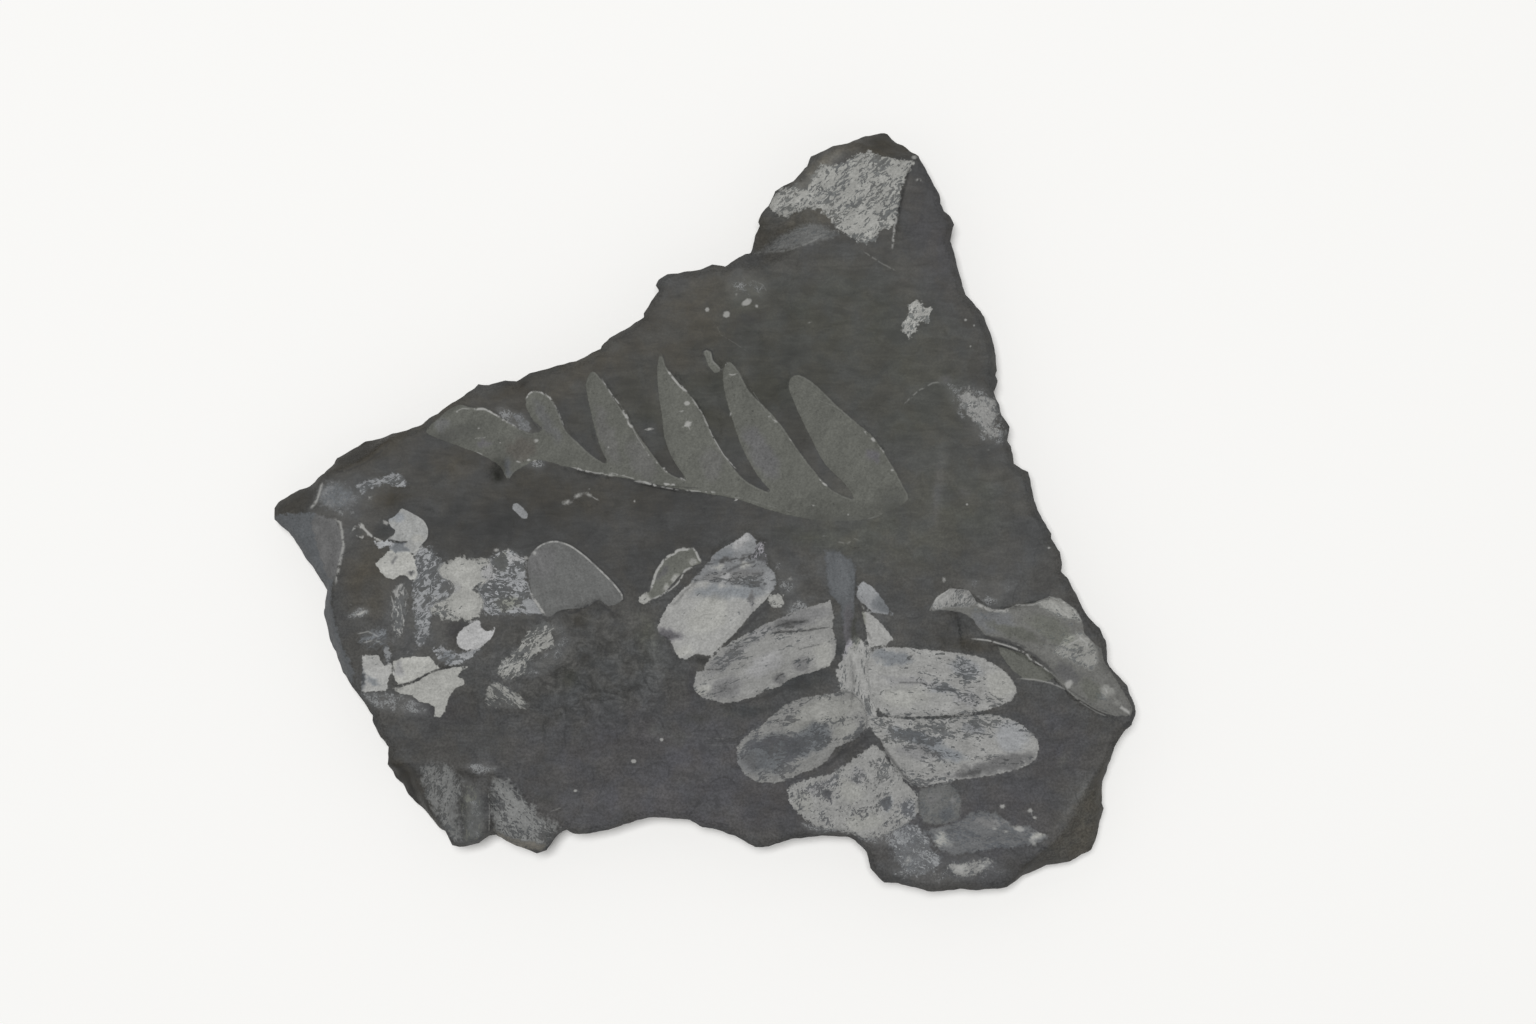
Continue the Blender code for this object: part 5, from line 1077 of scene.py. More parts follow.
SIDE_STEPS = 11  # bedding layers seen on the sides
SIDE_TOP = 0.975  # share of the height at which the layers start
SIDE_SPAN = 0.875  # share of the height that they take up
SIDE_CUT = 0.004  # half the height between two layers, as a share
FLANK_SAG = 0.3

GRAIN_APART = 7.0  # how far apart in their noise two leaves lie
WANDER_REACH = 0.55  # how far a stain's edge wanders
TINT_PULL = 0.8  # how fully the shale takes on the tint of a field
FACET_SHADE = 0.18  # how much darker the steep broken faces are painted, as shade
FACET_TINT = 0.5
SIDE_SHADE = 0.80  # brightness of the sides and the underside
SHARP_ANGLE = 50.0  # edges that turn by more degrees than this stay sharp

# Fields of noise: cell size and height for each size of their waves.
BROAD_WAVES = ((31.0, 0.5), (11.0, 0.22))
FINE_WAVES = ((3.2, 0.075), (1.4, 0.035), (0.8, 0.018))
RIM_ROUGHNESS = ((2.6, 0.14), (1.0, 0.09))
BROKEN_ROUGHNESS = ((2.4, 0.5), (1.1, 0.35))
FLAKE_FIELD = ((13.0, 2.4), (4.0, 0.9))
STAIN_WANDER = ((1.6, 1.0), (0.7, 0.5))
SIDE_ROUGHNESS = ((3.4, 0.2), (1.3, 0.1))
UNDERSIDE_WAVES = ((6.0, 1.0), (2.2, 0.3))
UNDERSIDE_WAVE_HEIGHT = 0.16
ARRIS_CELL = 9.0
SPREAD_CELL = 7.0
INSET_CELL = 12.0
LIFT_CELL = 8.0
RING_CELL = 1.9


# ---------------------------------------------------------------- plan geometry

def smoothstep(t):
    t = np.clip(t, 0.0, 1.0)
    return t * t * (3.0 - 2.0 * t)


def resample(line, step, closed=True):
    """Points along a polyline, keeping its corners and splitting every run longer than step."""
    corners = np.asarray(line, float)
    ends = np.roll(corners, -1, axis=0) if closed else corners[1:]
    points = []
    for start, end in zip(corners, ends):
        parts = max(1, round(math.dist(start, end) / step))
        points += [start + (end - start) * k / parts for k in range(parts)]
    if not closed:
        points.append(corners[-1])
    return np.array(points)


def spline(points, step):
    """A closed Catmull-Rom curve through the points, with a point about every step."""
    corners = np.asarray(points, float)
    before, after, beyond = (np.roll(corners, shift, axis=0) for shift in (1, -1, -2))
    curve = []
    for p0, p1, p2, p3 in zip(before, corners, after, beyond):
        parts = max(1, round(math.dist(p1, p2) / step))
        for t in np.arange(parts) / parts:
            curve.append(0.5 * (2 * p1 + (p2 - p0) * t + (2 * p0 - 5 * p1 + 4 * p2 - p3) * t**2
                                + (3 * p1 - p0 - 3 * p2 + p3) * t**3))
    return np.array(curve)


def in_parts(work, points):
    """Runs a function over the points a few thousand at a time, and joins what it returns."""
    results = [work(points[k:k + POINTS_AT_ONCE]) for k in range(0, len(points), POINTS_AT_ONCE)]
    if isinstance(results[0], tuple):
        return tuple(np.concatenate(column) for column in zip(*results))
    return np.concatenate(results)


def inside(points, polygon):
    """Which points lie inside a closed polygon."""
    x1, y1 = polygon.T
    x2, y2 = np.roll(polygon, -1, axis=0).T
    rise = np.where(y2 == y1, 1.0, y2 - y1)

    def test(part):
        x, y = part[:, :1], part[:, 1:]
        spans = (y1 > y) != (y2 > y)
        return (spans & (x < x1 + (x2 - x1) * (y - y1) / rise)).sum(axis=1) % 2 == 1

    return in_parts(test, points)


def nearest(points, line, closed=False):
    """Distance to a polyline, how far along it from 0 to 1, the side (negative on the right) and
    the nearest run's number."""
    ends = np.roll(line, -1, axis=0) if closed else line[1:]
    starts = line if closed else line[:-1]
    run = ends - starts
    length = np.maximum(np.hypot(*run.T), TINY)

    def measure(part):
        offset = part[:, None, :] - starts
        along = np.clip((offset * run).sum(axis=2) / length**2, 0.0, 1.0)
        apart = np.hypot(*np.moveaxis(offset - along[..., None] * run, 2, 0))
        best = apart.argmin(axis=1)
        rows = np.arange(len(part))
        reached = (np.cumsum(length) - length)[best] + along[rows, best] * length[best]
        cross = run[best, 0] * offset[rows, best, 1] - run[best, 1] * offset[rows, best, 0]
        return apart[rows, best], reached / length.sum(), cross, best

    return in_parts(measure, points)


def signed_distance(points, polygon):
    """Distance to a closed polygon, positive inside it."""
    apart = nearest(points, polygon, closed=True)[0]
    return np.where(inside(points, polygon), apart, -apart)


def noise(points, cell, seed):
    """Smooth gradient noise from about -1 to 1, with features about one cell across."""
    size = 64  # cells before it repeats
    angles = np.random.RandomState(seed).uniform(0.0, 2.0 * math.pi, (size, size))
    grid = points / cell
    base = np.floor(grid).astype(int)
    local = grid - base
    weight = smoothstep(local)
    total = np.zeros(len(points))
    for i in (0, 1):
        for j in (0, 1):
            angle = angles[(base[:, 0] + i) % size, (base[:, 1] + j) % size]
            dot = np.cos(angle) * (local[:, 0] - i) + np.sin(angle) * (local[:, 1] - j)
            share = np.abs(1 - i - weight[:, 0]) * np.abs(1 - j - weight[:, 1])
            total += share * dot
    return total * 1.5


def field(points, waves, seed, apart=1):
    """Noise of several sizes added up, from a table of cell size and height.  The seeds of the sizes
    stand apart by a number."""
    return sum(height * noise(points, cell, seed + apart * k) for k, (cell, height) in enumerate(waves))


def turned(points, degrees):
    """Plan points in axes turned by an angle."""
    angle = math.radians(degrees)
    x = points[:, 0] * math.cos(angle) + points[:, 1] * math.sin(angle)
    y = points[:, 1] * math.cos(angle) - points[:, 0] * math.sin(angle)
    return np.column_stack([x, y])


def oval(points, x, y, half_length, half_width, degrees):
    """Distance from the middle of an oval, where 1 is its edge."""
    local = turned(points - (x, y), degrees)
    return np.hypot(local[:, 0] / half_length, local[:, 1] / half_width)


def near_box(points, shape, margin):
    """The numbers of the points within a margin of a shape's box."""
    low, high = shape.min(axis=0) - margin, shape.max(axis=0) + margin
    return np.flatnonzero(((points > low) & (points < high)).all(axis=1))


def sideways(ahead):
    """Unit vectors to the right of the way that a line runs."""
    ahead = ahead / np.maximum(np.hypot(*ahead.T), TINY)[:, None]
    return np.column_stack([ahead[:, 1], -ahead[:, 0]])


def offset_copy(line, distance):
    """A closed line's points moved to its right by a distance."""
    ahead = np.roll(line, -1, axis=0) - np.roll(line, 1, axis=0)
    return line + distance * sideways(ahead)


def smoothed(ring, times):
    """A closed line with its corners rounded, a number of times over as counted at the part's own
    spacing of points."""
    for _ in range(round(times * (PART_RIM_STEP / RIM_STEP) ** 2)):
        ring = 0.5 * ring + 0.25 * (np.roll(ring, 1, axis=0) + np.roll(ring, -1, axis=0))
    return ring


def jittered_grid(low, high, step, row_step, jitter, seed):
    """Points in staggered rows between two corners, each moved a little at random."""
    x, y = np.meshgrid(np.arange(low[0], high[0], step), np.arange(low[1], high[1], row_step))
    x += step / 2 * (np.arange(len(x)) % 2)[:, None]
    grid = np.column_stack([x.ravel(), y.ravel()])
    return grid + np.random.RandomState(seed).uniform(-jitter, jitter, grid.shape) * step


def triangulated(points, edges, outline, merge):
    """The plan divided into triangles that keep the edges, without those outside the outline."""
    plan, _, faces, _, _, _ = delaunay_2d_cdt([tuple(p) for p in points], edges, [], 0, merge)
    plan = np.array([tuple(p) for p in plan])
    faces = np.array([tuple(face) for face in faces])
    return plan, faces[inside(plan[faces].mean(axis=1), outline)]


# ---------------------------------------------------------------- the top surface

def leaf_outlines():
    """Each leaf's outline as points close together."""
    return {name: (spline if film.curved else resample)(film.outline, LINE_STEP)
            for name, film in LEAVES.items()}


def rough_rim():
    """The broken outline with its fine breaks."""
    rim = resample(PLATE_OUTLINE, RIM_STEP)
    out = field(rim, RIM_ROUGHNESS, SEED + 40) + RIM_OUTSET
    return rim + (offset_copy(rim, -1.0) - rim) * out[:, None]


def plan_points(rim, outlines):
    """The points of the top in plan, and the lines between them that must stay edges."""
    loops = [rim] + [outlines[name] for name, film in LEAVES.items() if film.relief >= RAISED]
    tables = FACETS, STEPS + FINE_STEPS, VALLEYS, PALE_LINES + DARK_LINES
    lines = [resample(row[0], LINE_STEP, closed=False) for table in tables for row in table]
    fixed, edges = [], []
    for number, line in enumerate(loops + lines):
        first = len(fixed)
        fixed += list(line)
        edges += [(k, k + 1) for k in range(first, len(fixed) - 1)]
        if number < len(loops):
            edges.append((len(fixed) - 1, first))
    for x, y, half_length, half_width, degrees, _ in SPOTS:
        fixed.append(np.array((x, y)))
        for k in range(SPOT_POINTS):
            angle = k * 2.0 * math.pi / SPOT_POINTS
            local = np.array([[half_length * math.cos(angle), half_width * math.sin(angle)]])
            fixed.append(turned(local, -degrees)[0] + (x, y))
    fixed = np.array(fixed)

    row_step = GRID_STEP * math.sqrt(0.75)
    grid = jittered_grid(-GRID_REACH, GRID_REACH, GRID_STEP, row_step, GRID_JITTER, SEED)
    grid = grid[inside(grid, offset_copy(rim, 0.5 * GRID_STEP))]
    tree = KDTree(len(fixed))
    for number, (x, y) in enumerate(fixed):
        tree.insert((x, y, 0.0), number)
    tree.balance()
    clear = [tree.find((x, y, 0.0))[2] > 0.5 * GRID_STEP for x, y in grid]
    return np.vstack([fixed, grid[clear]]), edges


def border_of(faces):
    """The border of a patch of triangles as one ring of point numbers, in the faces' own direction."""
    sides = {(face[k], face[(k + 1) % 3]) for face in faces.tolist() for k in range(3)}
    following = {a: b for a, b in sides if (b, a) not in sides}
    ring = [min(following)]
    while following[ring[-1]] != ring[0]:
        ring.append(following[ring[-1]])
    return ring


def facet_drop(points, rim_distance):
    """How far the broken faces lie below the top."""
    drop = np.zeros(len(points))
    for ridge, beyond, depth in FACETS:
        ridge = np.array(ridge)
        within = inside(points, np.vstack([ridge, beyond]))
        from_ridge = nearest(points, ridge)[0]
        share = from_ridge / np.maximum(from_ridge + rim_distance, LEAST_SPAN)
        share *= smoothstep(from_ridge / FACET_TAPER)
        drop = np.where(within, np.maximum(drop, depth * share), drop)
    return drop


def step_drop(points):
    """How far the ledges lower the surface on their right-hand side."""
    drop = np.zeros(len(points))
    for line, depth, reach in STEPS + FINE_STEPS:
        apart, along, side, _ = nearest(points, np.array(line))
        fall = smoothstep(apart / FINE_EDGE) * np.exp(-((apart / reach) ** 2))
        ends = smoothstep(along / STEP_END) * smoothstep((1.0 - along) / STEP_END)
        drop += np.where(side < 0.0, depth * fall * ends, 0.0)
    return drop


def valley_drop(points):
    """How far the valleys lower the surface."""
    drop = np.zeros(len(points))
    for line, depth, left_width, right_width in VALLEYS:
        apart, along, side, _ = nearest(points, np.array(line))
        width = np.where(side < 0.0, right_width, left_width)
        deep = np.clip(1.0 - apart / width, 0.0, 1.0)
        drop += depth * deep * smoothstep((1.0 - along) / VALLEY_END)
    return drop


def flake_relief(points, height):
    """Low crisp terraces, higher in the broken ground of the lower middle."""
    level = np.floor(height)
    edge = smoothstep((height - level) / 0.12)
    broken = np.exp(-oval(points, *BROKEN_GROUND) ** 3)
    return (FLAKE_STEP + BROKEN_FLAKE_STEP * broken) * (level + edge)


def top_height(points, marks):
    """Height of the top above the ground, in millimetres."""
    rim_distance = marks["inward"]
    waves = field(points, BROAD_WAVES, SEED)
    fine = field(points, FINE_WAVES, SEED + 60)
    fine *= 1.0 - LEAF_SMOOTHING * smoothstep(marks["leaf"] / 0.5)
    arris = np.interp(noise(points, ARRIS_CELL, SEED + 2), (-0.7, 0.7), RIM_DROP)
    arris *= (1.0 - np.clip(rim_distance / RIM_WIDTH, 0.0, 1.0)) ** ARRIS_CURVE
    swelling = smoothstep(signed_distance(points, np.array(SWELLING)) / SWELLING_FLANK)
    facets = marks["facet"]
    rough = FACET_ROUGH * smoothstep(facets / 0.6) + SWELLING_ROUGH * swelling
    rough *= field(points, BROKEN_ROUGHNESS, SEED + 70)
    height = THICKNESS + waves + fine + rough + marks["relief"] + SWELLING_HEIGHT * swelling
    height += flake_relief(points, marks["flake"]) * (1.0 - smoothstep(marks["leaf"] / 0.6 + 1.0))
    height += PALE_RELIEF * marks["pale"] - DARK_RELIEF * marks["dark"]
    return height - arris - facets - step_drop(points) - valley_drop(points)


# ---------------------------------------------------------------- what the surface carries

def albedo(level):
    """Linear reflectance of a grey level from 0 to 255, by the sRGB curve."""
    share = np.clip(level, 0.0, 255.0) / 255.0
    return np.where(share <= 0.04045, share / 12.92, ((share + 0.055) / 1.055) ** 2.4)


def leaf_marks(points, outlines):
    """What the leaves give each point.  Leaves that come later in the table lie on top."""
    count = len(points)
    depth = np.full(count, -MARK_MARGIN)
    relief, rim, faded = np.zeros(count), np.zeros(count), np.zeros(count)
    level = np.full(count, 100.0)
    wear, edge = np.zeros((count, 3)), np.zeros((count, 3))
    tint = np.ones((count, 3))
    grain = np.column_stack([points, np.zeros(count)])
    for number, (name, film) in enumerate(LEAVES.items()):
        outline = outlines[name]
        near = near_box(points, outline, MARK_MARGIN)
        apart, _, _, run = nearest(points[near], outline, closed=True)
        signed = np.where(inside(points[near], outline) | (apart < 0.01), apart, -apart)
        relief[near] = np.maximum(relief[near], film.relief * smoothstep(signed / FINE_EDGE))
        kept = (signed >= 0.0) | (signed > depth[near])
        taken = near[kept]
        depth[near] = np.maximum(depth[near], signed)
        level[taken] = film.level
        wear[taken] = film.wear[:3]
        edge[taken] = (film.wear.ragged, film.wear.soft, 0.0)
        tint[taken] = film.tint
        local = turned(points[taken], film.grain) / (film.stretch * film.wear.cell, film.wear.cell)
        grain[taken] = np.column_stack([local, np.full(len(taken), GRAIN_APART * number)])
        # the pale rim on the edges that face rim_side: partly the leaf's pale edge, partly painted
        # highlight
        outward = -sideways(np.roll(outline, -1, axis=0) - outline)
        side = math.radians(film.rim_side)
        facing = outward[run] @ (math.cos(side), math.sin(side))
        rim[taken] = film.rim * smoothstep((facing[kept] - 0.05) / 0.5)
    wander = np.column_stack([field(points, STAIN_WANDER, SEED + 80 + k, 2) for k in (0, 1)])
    for x, y, half_length, half_width, degrees, change, thinner, colour in STAINS:
        reach = oval(points + WANDER_REACH * wander, x, y, half_length, half_width, degrees)
        weight = smoothstep((1.25 - reach) / 0.6)
        level += change * weight
        wear[:, 0] += thinner * weight
        tint += weight[:, None] * (np.array(colour) - tint)
    for x, y, half_length, half_width, degrees, lost in FADES:
        weight = np.exp(-oval(points, x, y, half_length, half_width, degrees) ** 3)
        faded = np.maximum(faded, lost * weight)
    edge[:, 2] = rim
    return {"leaf": depth, "relief": relief * (1.0 - faded), "level": level, "tint": tint,
            "wear": wear, "edge": edge, "faded": faded, "grain": grain}


def veil_marks(points):
    """Strength of the thin veils at each point."""
    strength = np.zeros(len(points))
    for outline, most, soft in VEILS:
        polygon = spline(outline, LINE_STEP)
        near = near_box(points, polygon, 2.0 * soft)
        signed = signed_distance(points[near], polygon)
        strength[near] = np.maximum(strength[near], most * smoothstep(0.5 + 0.5 * signed / soft))
    return strength


def line_marks(points, lines):
    """Strength of the nearest fine line at each point, weaker towards the line's ends."""
    strength = np.full(len(points), -1.0)
    for line, half_width, most in lines:
        dense = resample(line, LINE_STEP, closed=False)
        near = near_box(points, dense, LINE_MARGIN)
        apart, along, _, _ = nearest(points[near], dense)
        fade = smoothstep(along / 0.12) * smoothstep((1.0 - along) / 0.12) * 0.7 + 0.3
        mark = most * fade * np.clip(1.2 - apart / half_width, -1.0, 1.0)
        strength[near] = np.maximum(strength[near], mark)
    return strength


def spot_marks(points):
    """Strength of the small pale marks, which is half of their own at their edges."""
    strength = np.full(len(points), -1.0)
    for x, y, half_length, half_width, degrees, most in SPOTS:
        reach = oval(points, x, y, half_length, half_width, degrees)
        strength = np.maximum(strength, most * np.clip(1.0 - 0.5 * reach, -1.0, 1.0))
    return strength


def shale_marks(points):
    """Brightness and tint of the bare shale at each point, painted shade among them."""
    shade = np.ones(len(points))
    tint = np.ones((len(points), 3))
    for x, y, half_length, half_width, degrees, bright, colour in TINTS:
        weight = np.exp(-oval(points, x, y, half_length, half_width, degrees) ** 2.5)
        weight *= np.clip(1.0 + 0.6 * noise(points, 0.4 * half_width + 0.5, SEED + 90), 0.0, 1.3)
        shade *= 1.0 + (bright - 1.0) * weight
        tint += TINT_PULL * weight[:, None] * (np.array(colour) - tint)
    return shade, tint


def all_marks(points, outlines):
    """Everything that the top carries, as one value or triple at each point."""
    marks = leaf_marks(points, outlines)
    marks["pale"] = line_marks(points, PALE_LINES)
    marks["dark"] = line_marks(points, DARK_LINES)
    marks["spot"] = spot_marks(points)
    marks["veil"] = veil_marks(points)
    # A height whose whole numbers are the edges of thin layers that have come away.
    marks["flake"] = field(points, FLAKE_FIELD, SEED + 50)
    marks["inward"] = np.maximum(signed_distance(points, np.array(PLATE_OUTLINE)), 0.0)
    marks["facet"] = facet_drop(points, marks["inward"])
    steep = smoothstep(marks["facet"] / 0.5)
    marks["shade"], marks["shale_tint"] = shale_marks(points)
    # Steep broken faces are darkened, which is painted shade, and browned, which is their own colour.
    marks["shade"] *= 1.0 - FACET_SHADE * steep
    marks["shale_tint"] += FACET_TINT * steep[:, None] * (np.array(BROWN) - marks["shale_tint"])
    return marks


# ---------------------------------------------------------------- the sides and the underside

def side_rings(border, heights):
    """Rings of points from below the rim down to the ground, stepped at the bedding layers."""
    shares, insets, spreads = np.array([(1.0, 0.0, 0.1)] + SIDE_RINGS).T
    order = np.argsort(shares)
    bases = [smoothed(border, times) for times in range(4)]
    inwards = [smoothed(offset_copy(base, -1.0) - base, 2) for base in bases]
    random = np.random.RandomState(SEED + 30)
    cuts = np.cumsum(random.uniform(0.5, 1.5, SIDE_STEPS))
    cuts = np.concatenate([[SIDE_TOP], SIDE_TOP - SIDE_SPAN * cuts / cuts[-1]])
    rings = []
    for number in range(SIDE_STEPS):
        layer = field(border, SIDE_ROUGHNESS, SEED + 100 + number, 20)
        for share in (cuts[number] - SIDE_CUT, cuts[number + 1] + SIDE_CUT):
            inset = np.interp(share, shares[order], insets[order])
            spread = np.interp(share, shares[order], spreads[order])
            vary = spread * noise(border, SPREAD_CELL, SEED + 10 + round(3 * (1.0 - share)))
            blend = 3.0 * (1.0 - share)
            base = int(min(blend, 2))
            part = blend - base
            plan = bases[base] * (1.0 - part) + bases[base + 1] * part
            inward = inwards[base] * (1.0 - part) + inwards[base + 1] * part
            reach = np.maximum(inset + vary + layer, LEAST_INSET + FLANK_SAG * (1.0 - share))
            rings.append(np.column_stack([plan + inward * reach[:, None], share * heights]))
    base = smoothed(border, 4)
    inward = smoothed(offset_copy(base, -1.0) - base, 4)
    inset = UNDERSIDE_INSET + 0.7 * noise(border, INSET_CELL, SEED + 20)
    lift = np.interp(noise(border, LIFT_CELL, SEED + 21), (-0.6, 0.6), UNDERSIDE_LIFT)
    margin = np.column_stack([base + inward * inset[:, None], lift])
    rings += between(rings[-1], margin, 2, 0.12)
    flat = smoothed(margin[:, :2], 6)
    middle = flat.mean(axis=0)
    flat = middle + (flat - middle) * FLAT_SCALE
    rings += between(margin, np.column_stack([flat, np.zeros(len(flat))]), 4, 0.06)
    return rings


def between(upper, lower, parts, rough):
    """Rings that lead from one to another, roughened except for the last."""
    rings = []
    for k in range(1, parts + 1):
        ring = upper + (lower - upper) * k / parts
        if k < parts:
            ring[:, 2] += rough * noise(ring[:, :2], RING_CELL, SEED + 140 + k)
            ring[:, 2] = np.maximum(ring[:, 2], 0.02)
        rings.append(ring)
    return rings


def underside(edge):
    """Points and triangles that close the flat part of the underside within its edge."""
    grid = jittered_grid(edge.min(axis=0), edge.max(axis=0), UNDERSIDE_STEP,
                         UNDERSIDE_STEP * UNDERSIDE_ROWS, UNDERSIDE_JITTER, SEED + 3)
    grid = grid[signed_distance(grid, edge[::3]) > 0.6 * UNDERSIDE_STEP]
    count = len(edge)
    loop = [(k, (k + 1) % count) for k in range(count)]
    plan, faces = triangulated(np.vstack([edge, grid]), loop, edge, UNDERSIDE_MERGE)
    height = UNDERSIDE_WAVE_HEIGHT * np.clip(field(plan, UNDERSIDE_WAVES, SEED + 4), 0.0, 1.0)
    return plan[count:], height[count:], faces


# ---------------------------------------------------------------- the mesh

def add_attributes(mesh, marks, total):
    """Writes the marks to the mesh, with plain shale below the top."""
    # The attribute's name, its values on the top and its value everywhere below it.
    attributes = (
        ("leaf_depth", marks["leaf"], -MARK_MARGIN),
        ("leaf_albedo", albedo(marks["level"]), 0.1),
        ("leaf_tint", marks["tint"], 1.0),
        ("leaf_wear", marks["wear"], 0.0),
        ("leaf_edge", marks["edge"], 0.0),
        ("leaf_grain", marks["grain"], 0.0),
        ("leaf_faded", marks["faded"], 0.0),
        ("veil", marks["veil"], 0.0),
        ("pale_line", marks["pale"], -1.0),
        ("dark_line", marks["dark"], -1.0),
        ("pale_spot", marks["spot"], -1.0),
        ("flake", marks["flake"], 0.5),
        ("shale_tone_and_shade", marks["shade"], SIDE_SHADE),
        ("shale_tint", marks["shale_tint"], BROWN),
    )
    for name, values, below in attributes:
        full = np.empty((total,) + values.shape[1:])
        full[:len(values)] = values
        full[len(values):] = below
        single = values.ndim == 1
        attribute = mesh.attributes.new(name, "FLOAT" if single else "FLOAT_VECTOR", "POINT")
        attribute.data.foreach_set("value" if single else "vector", full.ravel())


def build_plate(material):
    """The whole plate as one closed mesh: the top, rings down its sides and the underside."""
    rim = rough_rim()
    outlines = leaf_outlines()
    plan, faces = triangulated(*plan_points(rim, outlines), rim, MERGE)
    used = np.unique(faces)
    renumber = np.full(len(plan), -1)
    renumber[used] = np.arange(len(used))
    plan, faces = plan[used], renumber[faces]
    marks = all_marks(plan, outlines)
    heights = top_height(plan, marks)
    border = np.array(border_of(faces))
    rings = side_rings(plan[border], heights[border])
    inner, inner_heights, floor_faces = underside(rings[-1][:, :2])

    outline = np.array(PLATE_OUTLINE)
    middle = (outline.max(axis=0) + outline.min(axis=0)) / 2.0
    vertices = [np.column_stack([plan, heights])] + rings + [np.column_stack([inner, inner_heights])]
    vertices = np.vstack(vertices) - (*middle, 0.0)
    # What stands out of the part's box is cut off: a few points of the outline, by 0.15 mm at most,
    # and the tops of the swelling, by 0.5 mm at most.
    low, high = np.array(CAD_BOX) / MM
    vertices = np.clip(vertices, low, high)

    count = len(border)
    ahead = (np.arange(count) + 1) % count
    triangles = [faces]
    above = border
    first = len(plan)
    for _ in rings:
        below = first + np.arange(count)
        triangles.append(np.column_stack([above[ahead], above, below]))
        triangles.append(np.column_stack([above[ahead], below, below[ahead]]))
        above = below
        first += count
    numbers = np.concatenate([above, first + np.arange(len(inner))])
    triangles.append(numbers[floor_faces][:, ::-1])
    triangles = np.vstack(triangles)

    mesh = bpy.data.meshes.new("fossil_plate")
    mesh.from_pydata((vertices * MM).tolist(), [], triangles.tolist())
    mesh.update()
    add_attributes(mesh, marks, len(vertices))
    shape = bmesh.new()
    shape.from_mesh(mesh)
    bmesh.ops.recalc_face_normals(shape, faces=shape.faces)
    shape.to_mesh(mesh)
    shape.free()
    mesh.shade_smooth()
    mesh.set_sharp_from_angle(angle=math.radians(SHARP_ANGLE))
    mesh.materials.append(material)
    plate = bpy.data.objects.new("fossil_plate", mesh)
    bpy.context.scene.collection.objects.link(plate)
    return plate


# ---------------------------------------------------------------- materials

class Graph:
    """Short calls that add shader nodes and link them."""

    def __init__(self, name):
        self.material = bpy.data.materials.new(name)
        self.material.use_nodes = True
        self.tree = self.material.node_tree
        self.shader = self.tree.nodes["Principled BSDF"]

    def put(self, socket, value):
        if isinstance(value, bpy.types.NodeSocket):
            self.tree.links.new(value, socket)
        else:
            socket.default_value = value

    def node(self, kind, inputs, **settings):
        """Adds a node, sets how it works and fills its inputs.  Returns its outputs."""
        node = self.tree.nodes.new("ShaderNode" + kind)
        for name, setting in settings.items():
            setattr(node, name, setting)
        for socket, value in inputs.items():
            self.put(node.inputs[socket], value)
        return node.outputs

    def attribute(self, name, output="Fac"):
        return self.node("Attribute", {}, attribute_name=name)[output]

    def place(self):
        """Where a point is on the object, in millimetres."""
        return self.vector("MULTIPLY", self.node("TexCoord", {})["Object"], (MM_PER_METRE,) * 3)

    def math(self, operation, a, b=0.0, clamp=False):
        return self.node("Math", {0: a, 1: b}, operation=operation, use_clamp=clamp)[0]

    def plus(self, a, b):
        return self.math("ADD", a, b)

    def minus(self, a, b):
        return self.math("SUBTRACT", a, b)

    def times(self, *factors):
        product = factors[0]
        for factor in factors[1:]:
            product = self.math("MULTIPLY", product, factor)
        return product

    def from_middle(self, field):
        """How far a field from 0 to 1 is from its middle, either way."""
        return self.math("ABSOLUTE", self.minus(field, 0.5))

    def vector(self, operation, a, b):
        return self.node("VectorMath", {0: a, 1: b}, operation=operation)[0]

    def split(self, vector):
        return self.node("SeparateXYZ", {0: vector})

    def scaled(self, a, amount):
        return self.node("VectorMath", {0: a, "Scale": amount}, operation="SCALE")[0]

    def length(self, vector):
        return self.node("VectorMath", {0: vector}, operation="LENGTH")["Value"]

    def noise(self, place, scale, detail=3.0, roughness=0.55, distortion=0.0):
        inputs = {"Vector": place, "Scale": scale, "Detail": detail, "Roughness": roughness,
                  "Distortion": distortion}
        return self.node("TexNoise", inputs)["Fac"]

    def ramp(self, value, low, high, start=0.0, end=1.0):
        """A smooth change from start to end as the value goes from low to high."""
        inputs = {"Value": value, "From Min": low, "From Max": high, "To Min": start, "To Max": end}
        return self.node("MapRange", inputs, interpolation_type="SMOOTHSTEP")["Result"]

    def near(self, value, middle, full, none):
        """One within a distance of a middle value, falling smoothly to zero further off."""
        return self.ramp(self.math("ABSOLUTE", self.minus(value, middle)), full, none, 1.0, 0.0)

    def vary(self, field, amount):
        """A field from 0.3 to 0.7 made into a factor that varies by an amount either side of one."""
        return self.ramp(field, 0.3, 0.7, 1.0 - amount, 1.0 + amount)

    def mix(self, share, a, b):
        return self.node("Mix", {"Factor": share, 6: a, 7: b}, data_type="RGBA")[2]

    def bump(self, height, strength, distance):
        inputs = {"Height": height, "Strength": strength, "Distance": distance}
        return self.node("Bump", inputs)["Normal"]


SHALE_ALBEDO = (0.066, 0.066, 0.064)
WARM_SHALE = (1.02, 1.0, 0.97, 1.0)
COOL_SHALE = (0.985, 1.0, 1.025, 1.0)
VEIL_COLOUR = (0.300, 0.308, 0.312, 1.0)
THIN_FILM = (0.95, 1.0, 1.05, 1.0)  # tint of a leaf where little of it is left
THICK_FILM = (1.0, 1.0, 1.0, 1.0)
# pale marks and lines, and the painted highlight on the rims
PALE_AND_HIGHLIGHT_COLOUR = (0.40, 0.40, 0.385, 1.0)
